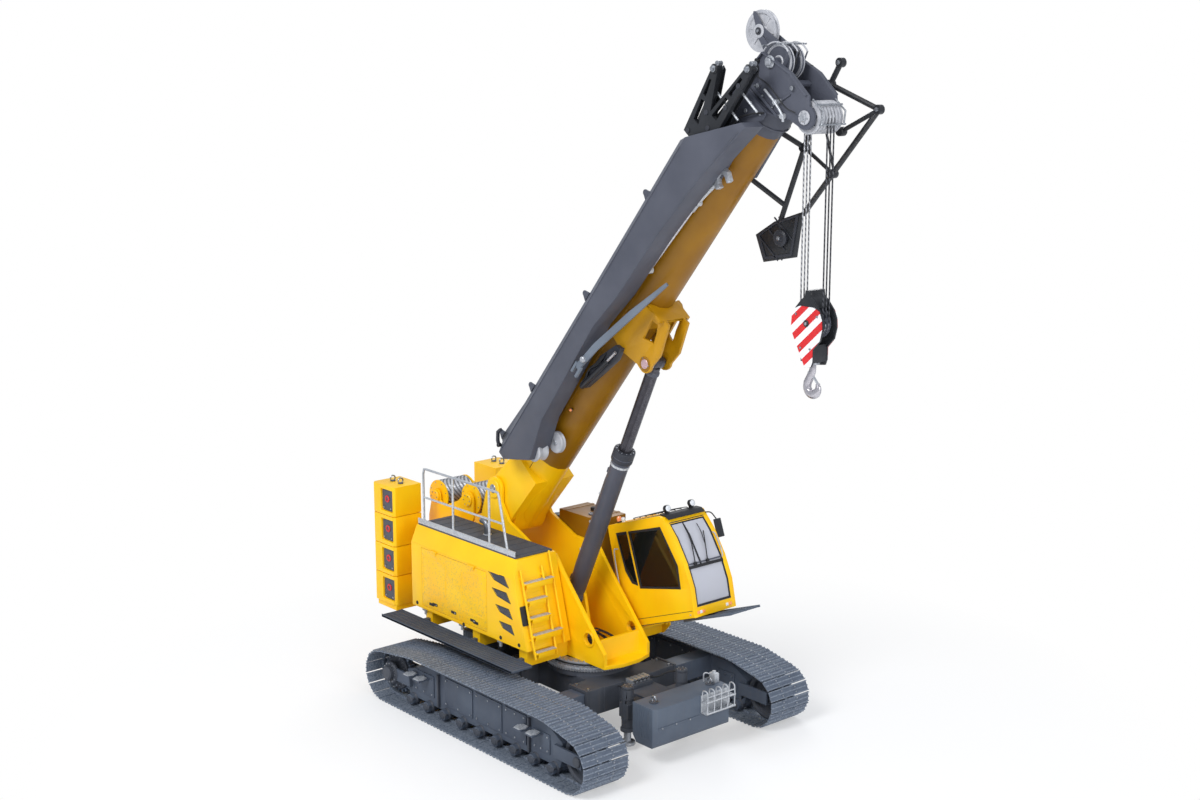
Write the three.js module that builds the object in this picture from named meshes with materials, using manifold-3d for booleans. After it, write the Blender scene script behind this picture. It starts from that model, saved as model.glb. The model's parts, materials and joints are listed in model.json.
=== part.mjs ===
// Telescopic crawler crane, full size, in millimetres.
// +X is forward, +Y is the driver's left, +Z is up. The slew axis stands at x = y = 0
// while the pieces are placed; the whole machine is then centred on its own footprint.
import * as THREE from 'three';
import { mergeVertices } from 'three/addons/utils/BufferGeometryUtils.js';
import Module from 'manifold-3d';

const wasm = await Module();
wasm.setup();

// ---------------------------------------------------------------- driving sizes
const gap = 0.3;                 // between pieces that touch
const runClear = 10;             // around sliding and turning pieces

const trackWidth = 900;          // shoe width
const trackOuter = 2492;         // centre plane to the outer edge of the shoes
const trackFront = 2815;
const trackRear = -3215;
const trackHeight = 1062;
const shoeThick = 62;            // shoes and chain together
const endRadius = 465;
const crownFront = 1750;         // the top run is level between the crown ends
const crownRear = -1800;

const ringRadius = 700;
const ringBottom = 985;
const ringHeight = 145;
const deckPlate = 60;

const beamSize = 340;            // telescoping axle beams
const beamWall = 40;
const axleX = 860;
const beamZ = 680;
const sleeveEnd = 1000;
const beamOverlap = 420;         // beam left in its sleeve when the tracks stand wide

const ballastLength = 530;
const ballastHalf = 850;
const ballastStart = 2050;
const ballastBottom = 340;
const ballastTop = 1000;
const ballastCorner = 60;

const jackX = 1650;
const jackY = 600;
const jackRadius = 62;
const jackFootHeight = 45;

const plateGap = 880;            // clear width between the two side plates
const plateThick = 60;
const hoodOuter = 1460;
const hoodBottom = 1430;
const hoodTop = 2900;
const hoodRear = -3200;
const hoodFront = 110;
const hoodCrease = 2600;         // the housing's side leans in above this height
const hoodLean = 130;
const sheet = 40;

const slabFront = -3750;
const slabLength = 670;
const slabInner = 850;
const slabBottom = 1250;
const slabHeight = 557;
const slabCount = 4;
const slabGap = 14;              // dark line between the stacked slabs
const pinRadius = 80;            // boom foot pin
const winchSeat = 2100;          // top of the counterweight base under the winches

const bodyAngle = 50.5;          // boom above level at rest
const boomPivot = [-2000, 3650];
const boomHalf = 340;
const boomDeep = 831;
const boomUnder = 705;           // from the pivot down to the boom's lower face
const boomRear = -420;
const boomFront = 9150;
const boomRound = 400;           // depth of the rounded belly
const boomWall = 12;
const sectionStep = 34;          // each section is smaller than the last on every side
const liftEye = [4378, -1078];   // lift cylinder eye in the boom's own frame

const liftFoot = [-430, 1950];
const barrelRadius = 155;
const collarRadius = 180;
const rodRadius = 105;
const eyeRadius = 105;
const barrelLength = 3130;
const rodInner = 1800;           // inner end of the rod at rest
const eyeHalf = 105;              // half width of the cylinder's eyes
const footPinRadius = 58;

const headSheaveAxis = [boomFront + 390, -1150];
const sheaveRadius = 232;
const grooveDepth = 32;
const ropePitch = 66;
const headSheaveCount = 7;
const topSheaveAxis = [boomFront + 540, -150];
const topSheaveRadius = 245;
const noseSheaveAxis = [boomFront + 580, 470];
const noseSheaveRadius = 300;
const fallLength = 2890;         // head sheave axis to hook block sheave axis
const ropeRadius = 11;

const cabPivot = [240, 1420];
const cabAngle = 20;
const cabInner = 620;            // cab's right side plane
const cabWidth = 960;
const cabWall = 55;
const padGap = 0.5;              // under sliding pads and around slow pins

// ---------------------------------------------------------------- materials
const paint = (color) => new THREE.MeshStandardMaterial({ color, roughness: 0.42, metalness: 0.1 });
const yellow = () => paint(0xf5b50a);
const amber = () => paint(0xd08a08);
const darkGrey = () => paint(0x4a4c55);
const black = () => paint(0x24262a);
const shoeGrey = () => new THREE.MeshStandardMaterial({ color: 0x585c66, roughness: 0.6, metalness: 0.5 });
const steel = () => new THREE.MeshStandardMaterial({ color: 0xa8abb0, roughness: 0.35, metalness: 0.9 });
const glass = () => new THREE.MeshStandardMaterial({ color: 0x30383c, roughness: 0.05, metalness: 0.0 });
const fabric = () => new THREE.MeshStandardMaterial({ color: 0x2b2c30, roughness: 0.9, metalness: 0.0 });

// ---------------------------------------------------------------- shape helpers
function toSolid(geometry) {
  const bare = geometry.clone();
  bare.deleteAttribute('normal');
  bare.deleteAttribute('uv');
  const merged = mergeVertices(bare, 1e-3);
  const mesh = new wasm.Mesh({
    numProp: 3,
    vertProperties: new Float32Array(merged.attributes.position.array),
    triVerts: new Uint32Array(merged.index.array),
  });
  return new wasm.Manifold(mesh);
}

function toGeometry(solid) {
  const mesh = solid.getMesh();
  const geometry = new THREE.BufferGeometry();
  geometry.setAttribute('position', new THREE.BufferAttribute(new Float32Array(mesh.vertProperties), 3));
  geometry.setIndex(new THREE.BufferAttribute(new Uint32Array(mesh.triVerts), 1));
  geometry.computeVertexNormals();
  return geometry;
}

function box(x0, x1, y0, y1, z0, z1) {
  const geometry = new THREE.BoxGeometry(x1 - x0, y1 - y0, z1 - z0);
  geometry.translate((x0 + x1) / 2, (y0 + y1) / 2, (z0 + z1) / 2);
  return toSolid(geometry);
}

// A plate whose outline lies in the x-z plane, between two y planes.
function plate(points, y0, y1) {
  const outline = points.map(([x, z]) => new THREE.Vector2(x, z));
  const shape = new THREE.Shape(outline);
  const geometry = new THREE.ExtrudeGeometry(shape, { depth: y1 - y0, bevelEnabled: false });
  geometry.rotateX(Math.PI / 2);
  geometry.translate(0, y1, 0);
  return toSolid(geometry);
}

// A plate whose outline lies in the x-y plane, between two heights.
function slab(points, z0, z1) {
  const outline = points.map(([x, y]) => new THREE.Vector2(x, y));
  const geometry = new THREE.ExtrudeGeometry(new THREE.Shape(outline), { depth: z1 - z0, bevelEnabled: false });
  geometry.translate(0, 0, z0);
  return toSolid(geometry);
}

// A bar whose section lies in the y-z plane, between two x planes.
function bar(points, x0, x1) {
  const outline = points.map(([y, z]) => new THREE.Vector2(y, z));
  const geometry = new THREE.ExtrudeGeometry(new THREE.Shape(outline), { depth: x1 - x0, bevelEnabled: false });
  geometry.rotateX(Math.PI / 2);
  geometry.rotateZ(Math.PI / 2);
  geometry.translate(x0, 0, 0);
  return toSolid(geometry);
}

function roundY(radius, y0, y1, x, z, sides = 28) {
  const geometry = new THREE.CylinderGeometry(radius, radius, y1 - y0, sides);
  geometry.translate(x, (y0 + y1) / 2, z);
  return toSolid(geometry);
}

function roundZ(radius, z0, z1, x, y, sides = 32) {
  const geometry = new THREE.CylinderGeometry(radius, radius, z1 - z0, sides);
  geometry.rotateX(Math.PI / 2);
  geometry.translate(x, y, (z0 + z1) / 2);
  return toSolid(geometry);
}

// A turned ring about the y axis; the profile lists [radius, y] and closes on itself.
function turnedY(profile, x, z, sides = 28) {
  const closed = [...profile, profile[0]].map(([r, y]) => new THREE.Vector2(r, y));
  const geometry = new THREE.LatheGeometry(closed, sides);
  geometry.translate(x, 0, z);
  return toSolid(geometry);
}

// A round bar between two points.
function rod(a, b, radius, sides = 10) {
  const start = new THREE.Vector3(...a);
  const end = new THREE.Vector3(...b);
  const length = start.distanceTo(end);
  const geometry = new THREE.CylinderGeometry(radius, radius, length, sides);
  const turn = new THREE.Quaternion();
  turn.setFromUnitVectors(new THREE.Vector3(0, 1, 0), end.clone().sub(start).normalize());
  geometry.applyQuaternion(turn);
  const middle = start.clone().add(end).multiplyScalar(0.5);
  geometry.translate(middle.x, middle.y, middle.z);
  return toSolid(geometry);
}

function join(...solids) {
  return solids.reduce((sum, next) => sum.add(next));
}

function cut(solid, ...tools) {
  return tools.reduce((left, tool) => left.subtract(tool), solid);
}

function arc(cx, cz, radius, from, to, steps) {
  const points = [];
  for (let i = 0; i <= steps; i += 1) {
    const angle = THREE.MathUtils.degToRad(from + ((to - from) * i) / steps);
    points.push([cx + radius * Math.cos(angle), cz + radius * Math.sin(angle)]);
  }
  return points;
}

function node(name, solid, material, parent) {
  const mesh = new THREE.Mesh(toGeometry(solid), material);
  mesh.name = name;
  parent.add(mesh);
  return mesh;
}

const sorted = (a, b) => [Math.min(a, b), Math.max(a, b)];
const mirrorY = (points) => points.map(([a, b]) => [-a, b]).reverse();

const machine = new THREE.Group();

// ---------------------------------------------------------------- tracks
const frontCentre = trackFront - endRadius;
const rearCentre = trackRear + endRadius;
const trackInner = trackOuter - trackWidth;

// Angle at which a line from a crown end touches an end wheel.
function touchAngle(centreX, crownX, radius, height) {
  const dx = crownX - centreX;
  const dz = height - endRadius;
  const towards = Math.atan2(dz, dx);
  const spread = Math.acos(radius / Math.hypot(dx, dz));
  return THREE.MathUtils.radToDeg(towards + (dx < 0 ? -spread : spread));
}

// Outline of the shoe loop, shrunk by inset.
function loopOutline(inset) {
  const radius = endRadius - inset;
  const top = trackHeight - inset;
  const frontTouch = touchAngle(frontCentre, crownFront, radius, top);
  const rearTouch = touchAngle(rearCentre, crownRear, radius, top);
  return [
    ...arc(frontCentre, endRadius, radius, -90, frontTouch, 12), [crownFront, top], [crownRear, top],
    ...arc(rearCentre, endRadius, radius, rearTouch, 270, 12),
  ];
}

const frameBottom = 190;
const frameHalf = 150;           // half width of the track frame beam

function buildTrack(side, sign) {
  const group = new THREE.Group();
  machine.add(group);
  const centre = sign * (trackOuter - trackWidth / 2);
  const y0 = centre - trackWidth / 2;
  const y1 = centre + trackWidth / 2;
  const shoes = cut(plate(loopOutline(0), y0, y1), plate(loopOutline(shoeThick), y0 - 1, y1 + 1));
  node(`track_shoes_${side}`, shoes, shoeGrey(), group);

  // Frame beam with rollers on both faces, step plates and two telescoping axle beams.
  const rollerRadius = 92;
  const rollerZ = shoeThick + rollerRadius + gap;
  const beamTop = trackHeight - shoeThick - 150;
  const wheelSpace = endRadius - shoeThick + 30;
  const outline = [
    [rearCentre + wheelSpace + 60, frameBottom], [frontCentre - wheelSpace - 60, frameBottom],
    [frontCentre - wheelSpace, 380], [frontCentre - wheelSpace, 620],
    [1500, beamTop], [-1700, beamTop], [rearCentre + wheelSpace, 640], [rearCentre + wheelSpace, 360],
  ];
  let frame = plate(outline, centre - frameHalf, centre + frameHalf);
  const rollerHalf = 245;
  const rollerCount = 9;
  for (let i = 0; i < rollerCount; i += 1) {
    const x = rearCentre + 620 + ((frontCentre - rearCentre - 1240) * i) / (rollerCount - 1);
    frame = join(frame, roundY(rollerRadius, centre - rollerHalf, centre + rollerHalf, x, rollerZ, 12));
  }
  for (const x of [-1400, 0, 1300]) {
    const top = trackHeight - shoeThick - gap;
    frame = join(frame, roundY(70, centre - 120, centre + 120, x, top - 70, 12));
    frame = join(frame, box(x - 60, x + 60, centre - 60, centre + 60, beamTop - 30, top - 70));
  }
  // Fork ends that carry the axles of the sprocket and the idler.
  for (const [axleAt, inward] of [[frontCentre, -1], [rearCentre, 1]]) {
    const rootX = axleAt + inward * (wheelSpace + 140);
    const bossX = axleAt + inward * (wheelSpace + 10);
    const tipX = axleAt - inward * 90;
    for (const dy of [-1, 1]) {
      const outer = centre + dy * 215;
      const [forkLow, forkHigh] = sorted(centre + dy * 175, outer);
      const [bossLow, bossHigh] = sorted(centre + dy * 130, outer);
      frame = join(
        frame,
        box(...sorted(tipX, rootX), forkLow, forkHigh, endRadius - 110, endRadius + 110),
        box(...sorted(bossX, rootX), bossLow, bossHigh, endRadius - 110, endRadius + 110),
      );
    }
    frame = join(frame, roundY(60, centre - 215, centre + 215, axleAt, endRadius, 16));
  }
  // Step plates on the outer face.
  for (const x of [-2050, -1750, 1050, 1350]) {
    const reach = sign * (trackWidth / 2 - 70);
    const low = Math.min(centre, centre + reach);
    const high = Math.max(centre, centre + reach);
    frame = join(frame, box(x - 105, x + 105, low, high, 620, 650));
  }
  // Axle beams, hollow and open at their inner ends.
  const tip = sign * (sleeveEnd - beamOverlap);
  for (const x of [-axleX, axleX]) {
    const half = beamSize / 2;
    const pad = half + runClear - padGap;
    frame = join(
      frame,
      box(x - half, x + half, ...sorted(tip, centre), beamZ - half, beamZ + half),
      box(x - pad, x + pad, ...sorted(tip, tip + sign * 90), beamZ - pad, beamZ + pad),
    );
    const bore = half - beamWall;
    const ends = sorted(tip - sign * 5, centre - sign * (frameHalf + 30));
    frame = cut(frame, box(x - bore, x + bore, ...ends, beamZ - bore, beamZ + bore));
  }
  node(`track_frame_${side}`, frame, darkGrey(), group);

  // Drive sprocket at the rear and idler at the front, bored for their axles.
  const wheelRadius = endRadius - shoeThick - 5;
  for (const [name, x] of [['drive_sprocket', rearCentre], ['track_idler', frontCentre]]) {
    let wheel = roundY(wheelRadius, centre - 150, centre + 150, x, endRadius, 28);
    wheel = cut(wheel, roundY(60 + gap, centre - 160, centre + 160, x, endRadius, 16));
    for (const dy of [-1, 1]) {
      const low = dy > 0 ? centre + 70 : centre - 151;
      const high = dy > 0 ? centre + 151 : centre - 70;
      const ring = cut(
        roundY(wheelRadius - 70, low, high, x, endRadius, 24),
        roundY(130, low - 1, high + 1, x, endRadius, 16),
      );
      wheel = cut(wheel, ring);
    }
    node(`${name}_${side}`, wheel, steel(), group);
  }
  return group;
}
buildTrack('right', -1);
buildTrack('left', 1);

// ---------------------------------------------------------------- car body
const sleeveHalf = beamSize / 2 + runClear;
const sleeveOuter = sleeveHalf + 40;
let carBody = box(-1100, 1100, -620, 620, 470, 900);
for (const x of [-axleX, axleX]) {
  carBody = join(carBody, box(x - sleeveOuter, x + sleeveOuter, -sleeveEnd, sleeveEnd,
    beamZ - sleeveOuter, beamZ + sleeveOuter));
}
carBody = join(carBody, roundZ(ringRadius + 30, 880, ringBottom - gap, 0, 0, 40));
for (const sign of [-1, 1]) {
  const x0 = Math.min(sign * 1000, sign * (ballastStart - gap));
  const x1 = Math.max(sign * 1000, sign * (ballastStart - gap));
  carBody = join(carBody, box(x0, x1, -300, 300, 480, 830));
  for (const side of [-1, 1]) {
    const y0 = Math.min(side * 250, side * (jackY + 90));
    const y1 = Math.max(side * 250, side * (jackY + 90));
    carBody = join(carBody, box(sign * jackX - 110, sign * jackX + 110, y0, y1, 560, 800));
    carBody = join(carBody, roundZ(jackRadius + 38, 330, 1040, sign * jackX, side * jackY, 16));
  }
}
for (const x of [-axleX, axleX]) {
  carBody = cut(carBody, box(x - sleeveHalf, x + sleeveHalf, -sleeveEnd - 1, sleeveEnd + 1,
    beamZ - sleeveHalf, beamZ + sleeveHalf));
}
for (const sign of [-1, 1]) {
  for (const side of [-1, 1]) {
    carBody = cut(carBody, roundZ(jackRadius, 320, 1000, sign * jackX, side * jackY, 16));
  }
}
node('car_body', carBody, darkGrey(), machine);

for (const [end, sign] of [['front', 1], ['rear', -1]]) {
  for (const [side, ySign] of [['right', -1], ['left', 1]]) {
    const leg = join(
      roundZ(jackRadius - padGap, jackFootHeight + 90, 980, sign * jackX, ySign * jackY, 16),
      roundZ(130, jackFootHeight + 40, jackFootHeight + 95, sign * jackX, ySign * jackY, 20),
    );
    node(`jack_${end}_${side}`, leg, steel(), machine);
  }
}

// ---------------------------------------------------------------- ballast on the car body
const ballastEnd = ballastStart + ballastLength;
function ballast(sign) {
  const points = [
    [ballastStart, -ballastHalf], [ballastEnd - ballastCorner, -ballastHalf],
    [ballastEnd, -ballastHalf + ballastCorner], [ballastEnd, ballastHalf - ballastCorner],
    [ballastEnd - ballastCorner, ballastHalf], [ballastStart, ballastHalf],
  ];
  const outline = sign > 0 ? points : points.map(([x, y]) => [-x, y]).reverse();
  const side = [
    [ballastStart - 1, ballastBottom + 120], [ballastStart + 90, ballastBottom], [ballastEnd - 70, ballastBottom],
    [ballastEnd + 1, ballastBottom + 90], [ballastEnd + 1, ballastTop], [ballastStart - 1, ballastTop],
  ];
  const sideOutline = sign > 0 ? side : side.map(([x, z]) => [-x, z]).reverse();
  const profile = plate(sideOutline, -ballastHalf - 1, ballastHalf + 1);
  return slab(outline, ballastBottom - 1, ballastTop).intersect(profile);
}
node('front_ballast', ballast(1), darkGrey(), machine);
node('rear_ballast', ballast(-1), darkGrey(), machine);

// Step rack on the left front of the ballast.
{
  const y0 = 150;
  const y1 = 800;
  const low = 700;
  const x0 = ballastEnd + gap;
  const reach = 150;
  let rack = box(x0, x0 + 25, y0, y1, low, low + 300);
  for (const z of [low, low + 190]) {
    rack = join(rack, box(x0, x0 + reach, y0, y1, z, z + 25));
  }
  for (const y of [y0, (y0 + y1) / 2, y1 - 25]) {
    rack = join(rack, box(x0 + reach - 25, x0 + reach, y, y + 25, low, low + 400));
  }
  node('step_rack', rack, steel(), machine);
}

// ---------------------------------------------------------------- slewing upper
const upper = new THREE.Group();
machine.add(upper);
const ringTop = ringBottom + ringHeight;
const ring = cut(
  join(roundZ(ringRadius, ringBottom, ringTop, 0, 0, 48), roundZ(ringRadius + 45, ringBottom, ringBottom + 70, 0, 0, 48)),
  roundZ(ringRadius - 160, ringBottom - 1, ringTop + 1, 0, 0, 40),
);
node('slew_ring', ring, steel(), upper);

// Main frame: floor plate, two side plates that carry the boom pin, cross walls.
const floorBottom = ringTop + gap;
const floorTop = floorBottom + deckPlate;
const plateInner = plateGap / 2;
const plateOuter = plateInner + plateThick;
const [pivotX, pivotZ] = boomPivot;
const sidePlate = [
  [-3000, floorBottom], [960, floorBottom], [960, 1390], [510, 1880], [-100, 2545], [-330, 2830],
  [-950, 2850], [-1600, 3130], [-1800, 3420], ...arc(pivotX, pivotZ, 210, -20, 170, 8), [-2420, 3000],
  [-3000, 2100],
];
const frameNose = slab([[700, -plateOuter], [960, -plateOuter], [1060, -180], [1060, 180], [960, plateOuter],
  [700, plateOuter]], floorBottom, floorTop);
let upperFrame = join(
  box(-3000, 960, -plateOuter, plateOuter, floorBottom, floorTop),
  frameNose,
  plate(sidePlate, -plateOuter, -plateInner),
  plate(sidePlate, plateInner, plateOuter),
  box(-2990, -2930, -plateInner - 5, plateInner + 5, floorBottom, 2080),
  box(700, 760, -plateInner - 5, plateInner + 5, floorBottom, 1560),
);
// Outriggers under the housings and the cab.
for (const [x0, x1, side, reach] of [
  [-2900, -2700, -1, 1380], [-1500, -1300, -1, 1380], [-200, 0, -1, 1380],
  [-2900, -2700, 1, 1380], [-1500, -1300, 1, 1380],
]) {
  upperFrame = join(upperFrame, box(x0, x1, ...sorted(side * (plateInner + 5), side * reach), floorBottom,
    hoodBottom - gap));
}
// Lugs for the lift cylinder foot.
const [footX, footZ] = liftFoot;
for (const dy of [-1, 1]) {
  const low = dy > 0 ? eyeHalf + 8 : -eyeHalf - 68;
  const high = low + 60;
  const lug = [[footX - 330, floorTop - 10], [footX + 330, floorTop - 10], [footX + 150, footZ], 
    ...arc(footX, footZ, 150, 20, 160, 6), [footX - 150, footZ]];
  upperFrame = join(upperFrame, plate(lug, low, high));
}
// Pin bores and the foot pin.
upperFrame = cut(upperFrame, roundY(pinRadius + gap, -plateOuter - 1, plateOuter + 1, pivotX, pivotZ, 24));
upperFrame = join(upperFrame, roundY(footPinRadius, -eyeHalf - 60, eyeHalf + 60, footX, footZ, 20));
// Oval hand holes in the side plates.
upperFrame = cut(upperFrame, roundY(110, -plateOuter - 1, plateOuter + 1, 560, 1560, 24));
node('upper_frame', upperFrame, yellow(), upper);
node('boom_pin', roundY(pinRadius, -plateOuter - 25, plateOuter + 25, pivotX, pivotZ, 24), steel(), upper);

// Right housing over the engine: roof, floor, ends and side wall with an opening for its door.
const hoodInner = plateOuter + 20;
const doorX0 = -2900;
const doorX1 = -980;
const doorZ0 = hoodBottom + 60;
const doorZ1 = hoodCrease - 40;
function hoodSection(inset) {
  const o = hoodOuter - inset;
  const i = hoodInner + inset;
  return [[-o, hoodBottom + inset], [-i, hoodBottom + inset], [-i, hoodTop - inset],
    [-o + hoodLean, hoodTop - inset], [-o, hoodCrease - inset / 4]];
}
const frontCutter = plate([[hoodFront, hoodBottom - 10], [hoodFront + 900, hoodBottom - 10],
  [hoodFront + 900, hoodTop + 10], [hoodFront - 400, hoodTop + 10]], -hoodOuter - 10, -hoodInner + 10);
const innerFrontCutter = plate([[hoodFront - sheet, hoodBottom - 10], [hoodFront + 900, hoodBottom - 10],
  [hoodFront + 900, hoodTop + 10], [hoodFront - 400 - sheet, hoodTop + 10]], -hoodOuter - 10, -hoodInner + 10);
let hood = cut(bar(hoodSection(0), hoodRear, hoodFront), frontCutter);
const hoodHollow = cut(bar(hoodSection(sheet), hoodRear + sheet, hoodFront), innerFrontCutter);
hood = cut(hood, hoodHollow);
hood = cut(hood, box(doorX0, doorX1, -hoodOuter - 10, -hoodOuter + sheet + 10, doorZ0, doorZ1));
// Slanted air slots in the side wall ahead of the door.
for (let i = 0; i < 4; i += 1) {
  const vent = [
    [-905 + i * 95, hoodCrease - 10 - i * 270], [-500 + i * 60, hoodCrease - 10 - i * 270],
    [-380 + i * 47, 2430 - i * 263], [-760 + i * 75, 2480 - i * 263],
  ];
  hood = cut(hood, plate(vent, -hoodOuter - 10, -hoodOuter + sheet + 10));
}
// Openings in the floor for cooling air.
hood = cut(hood, box(-2500, -1600, -1250, -750, hoodBottom - 10, hoodBottom + sheet + 10));
// Hinges above the side door: a pin in two ears on the hood, a knuckle on the door.
const doorGap = 8;
const hingeY = -hoodOuter - 16;
const hingeZ = doorZ1 + 6;
const knuckleRadius = 15;
const hingePin = 8;
let hoodDoor = box(doorX0 + doorGap, doorX1 - doorGap, -hoodOuter, -hoodOuter + sheet,
  doorZ0 + doorGap, doorZ1 - doorGap);
for (const x of [doorX0 + 400, doorX1 - 400]) {
  for (const dx of [-1, 1]) {
    hood = join(hood, box(...sorted(x + dx * 62, x + dx * 90), hingeY - 15, -hoodOuter + 5, hingeZ - 8, hingeZ + 16));
  }
  hood = join(hood, rod([x - 70, hingeY, hingeZ], [x + 70, hingeY, hingeZ], hingePin, 10));
  const leaf = box(x - 56, x + 56, hingeY - 6, -hoodOuter + 5, hingeZ - 60, hingeZ);
  const knuckle = join(leaf, rod([x - 56, hingeY, hingeZ], [x + 56, hingeY, hingeZ], knuckleRadius, 12));
  const room = box(x - 60, x + 60, -hoodOuter, -hoodOuter + 20, hingeZ - 60, hingeZ);
  hoodDoor = join(hoodDoor, cut(knuckle, rod([x - 70, hingeY, hingeZ], [x + 70, hingeY, hingeZ], hingePin + 1, 12), room));
}
node('engine_hood', hood, yellow(), upper);

node('hood_door', hoodDoor, yellow(), upper);

node('engine_block', box(-2450, -1250, -1260, -680, hoodBottom + sheet + gap, 2350), darkGrey(), upper);

// Left housing: tanks and valves, closed.
node('tank_housing', box(-1450, -420, hoodInner, 1180, hoodBottom, 3220), amber(), upper);
node('left_housing', bar(mirrorY([[-hoodOuter, hoodBottom], [-hoodInner, hoodBottom], [-hoodInner, 2500],
  [-hoodOuter + hoodLean, 2500], [-hoodOuter, 2390]]), hoodRear, -1470), yellow(), upper);

// Counterweight: a base across the rear, and four slabs stacked on each side.
const slabRear = slabFront - slabLength;
const trayTop = slabBottom - gap;
node('counterweight_base', join(
  box(slabRear + 60, slabFront - 20, -hoodOuter + 30, hoodOuter - 30, 1150, trayTop),
  box(slabRear + 120, slabFront - 20, -slabInner + 20, slabInner - 20, trayTop - 10, winchSeat),
  box(slabFront - 30, -2990 - gap, -420, 420, 1200, 2000),
), yellow(), upper);
for (const [side, sign] of [['right', -1], ['left', 1]]) {
  const bevel = 50;
  const middleX = (slabFront + slabRear) / 2;
  const middleY = (sign * (slabInner + hoodOuter)) / 2;
  const points = [
    [slabFront, slabInner], [slabFront, hoodOuter - bevel], [slabFront - bevel, hoodOuter],
    [slabRear + bevel, hoodOuter], [slabRear, hoodOuter - bevel], [slabRear, slabInner],
  ];
  const outline = sign > 0 ? points : points.map(([x, y]) => [x, -y]).reverse();
  const recess = [...sorted(sign * (hoodOuter - 45), sign * (hoodOuter + 10))];
  const stackTop = slabBottom + slabCount * slabHeight;
  const ties = [-180, 180].map((x) => roundZ(60, slabBottom + 5, stackTop - 60, middleX + x, middleY, 16));
  const slabs = [];
  for (let i = 0; i < slabCount; i += 1) {
    const z0 = slabBottom + i * slabHeight;
    const block = slab(outline, z0, z0 + slabHeight - slabGap);
    slabs.push(cut(block, box(slabRear + 270, slabFront - 40, ...recess, z0 + 70, z0 + slabHeight - 80)));
  }
  node(`counterweight_${side}`, join(...slabs, ...ties), yellow(), upper);
}

// Two winches between the counterweight stacks: drums between two cheek plates on the base.
const drumRadius = 215;
const drumFlange = 290;
const drumHalf = 330;
const drumAxle = 60;
const mainWinch = [-3940, 3100];
const auxiliaryWinch = [-2930, 3230];
const winches = [['main', ...mainWinch], ['auxiliary', ...auxiliaryWinch]];
{
  const cheeks = [
    [-4170, winchSeat + gap], [-3780, winchSeat + gap], [-3200, 2300], [-2780, 2900],
    ...arc(...auxiliaryWinch, 150, -10, 120, 6), [-3250, 3150], [-3720, 2960],
    ...arc(...mainWinch, 140, -20, 200, 8), [-4170, 2700],
  ];
  let winchFrame = join(
    plate(cheeks, -drumHalf - 60, -drumHalf - 25),
    plate(cheeks, drumHalf + 25, drumHalf + 60),
    box(-4150, -3800, -drumHalf - 50, drumHalf + 50, winchSeat + gap, winchSeat + 60),
  );
  for (const [name, x, z] of winches) {
    winchFrame = join(winchFrame, roundY(drumAxle, -drumHalf - 30, drumHalf + 30, x, z, 16));
    const bore = drumAxle + 1;
    const drum = turnedY([
      [bore, -drumHalf], [drumFlange, -drumHalf], [drumFlange, -drumHalf + 30], [drumRadius, -drumHalf + 30],
      [drumRadius, drumHalf - 30], [drumFlange, drumHalf - 30], [drumFlange, drumHalf], [bore, drumHalf],
    ], x, z, 24);
    node(`${name}_winch_drum`, drum, yellow(), upper);
  }
  node('winch_frame', winchFrame, yellow(), upper);
}

// Catwalk beside the right housing, on brackets from the frame.
{
  let walk = box(-3500, 300, -1930, -1500, 1225, 1262);
  for (const x of [-2800, -1400, -100]) {
    walk = join(walk, box(x - 40, x + 40, -1520, -1380 - gap, floorBottom + 10, 1262));
  }
  node('right_catwalk', walk, darkGrey(), upper);
}
// Hand rail on the walkway, ladder at the housing's front.
{
  const railBase = hoodTop + gap;
  const railTop = 3950;
  const railMiddle = 3430;
  const y = -hoodOuter + hoodLean + 20;
  const posts = [-3000, -2120, -1080];
  const deckFront = hoodFront - 460;
  const rails = [
    rod([posts[0], y, railTop], [-820, y, railTop], 20, 8),
    rod([posts[0], y, railMiddle], [-690, y, railMiddle], 20, 8),
    rod([-560, y, railBase + 8], [-820, y, railTop], 20, 8),
    box(hoodRear + 40, deckFront, y - 20, y - 14, hoodTop + 20, hoodTop + 120),
  ];
  for (const x of posts) {
    rails.push(rod([x, y, railBase], [x, y, railTop], 20, 8));
  }
  const deck = box(hoodRear + 40, deckFront, y - 20, -hoodInner - 20, hoodTop + gap, hoodTop + 30);
  node('walkway', join(deck, ...rails), darkGrey(), upper);
}
{
  const lean = 400 / (hoodTop - hoodBottom);
  const at = (z) => hoodFront - (z - hoodBottom) * lean + 65;
  const ladderSides = [-1350, -900];
  const grabRail = -700;
  const parts = [rod([at(1450), grabRail, 1450], [at(2960), grabRail, 2960], 16, 8)];
  for (const y of ladderSides) {
    parts.push(rod([at(1300), y, 1300], [at(2750), y, 2750], 20, 8));
    parts.push(rod([at(2600) - 100, y, 2600], [at(2600), y, 2600], 16, 8));
    parts.push(rod([at(1600) - 100, y, 1600], [at(1600), y, 1600], 16, 8));
  }
  for (let i = 0; i < 5; i += 1) {
    const z = 1400 + i * 280;
    const far = i === 1 || i === 4 ? grabRail : ladderSides[1];
    parts.push(box(at(z) - 45, at(z) + 45, ladderSides[0], far, z - 15, z + 15));
  }
  const hoodSpace = cut(bar(hoodSection(0), hoodRear, hoodFront + 30), frontCutter.translate([gap, 0, 0]));
  node('hood_ladder', cut(join(...parts), hoodSpace), yellow(), upper);
}

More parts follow.
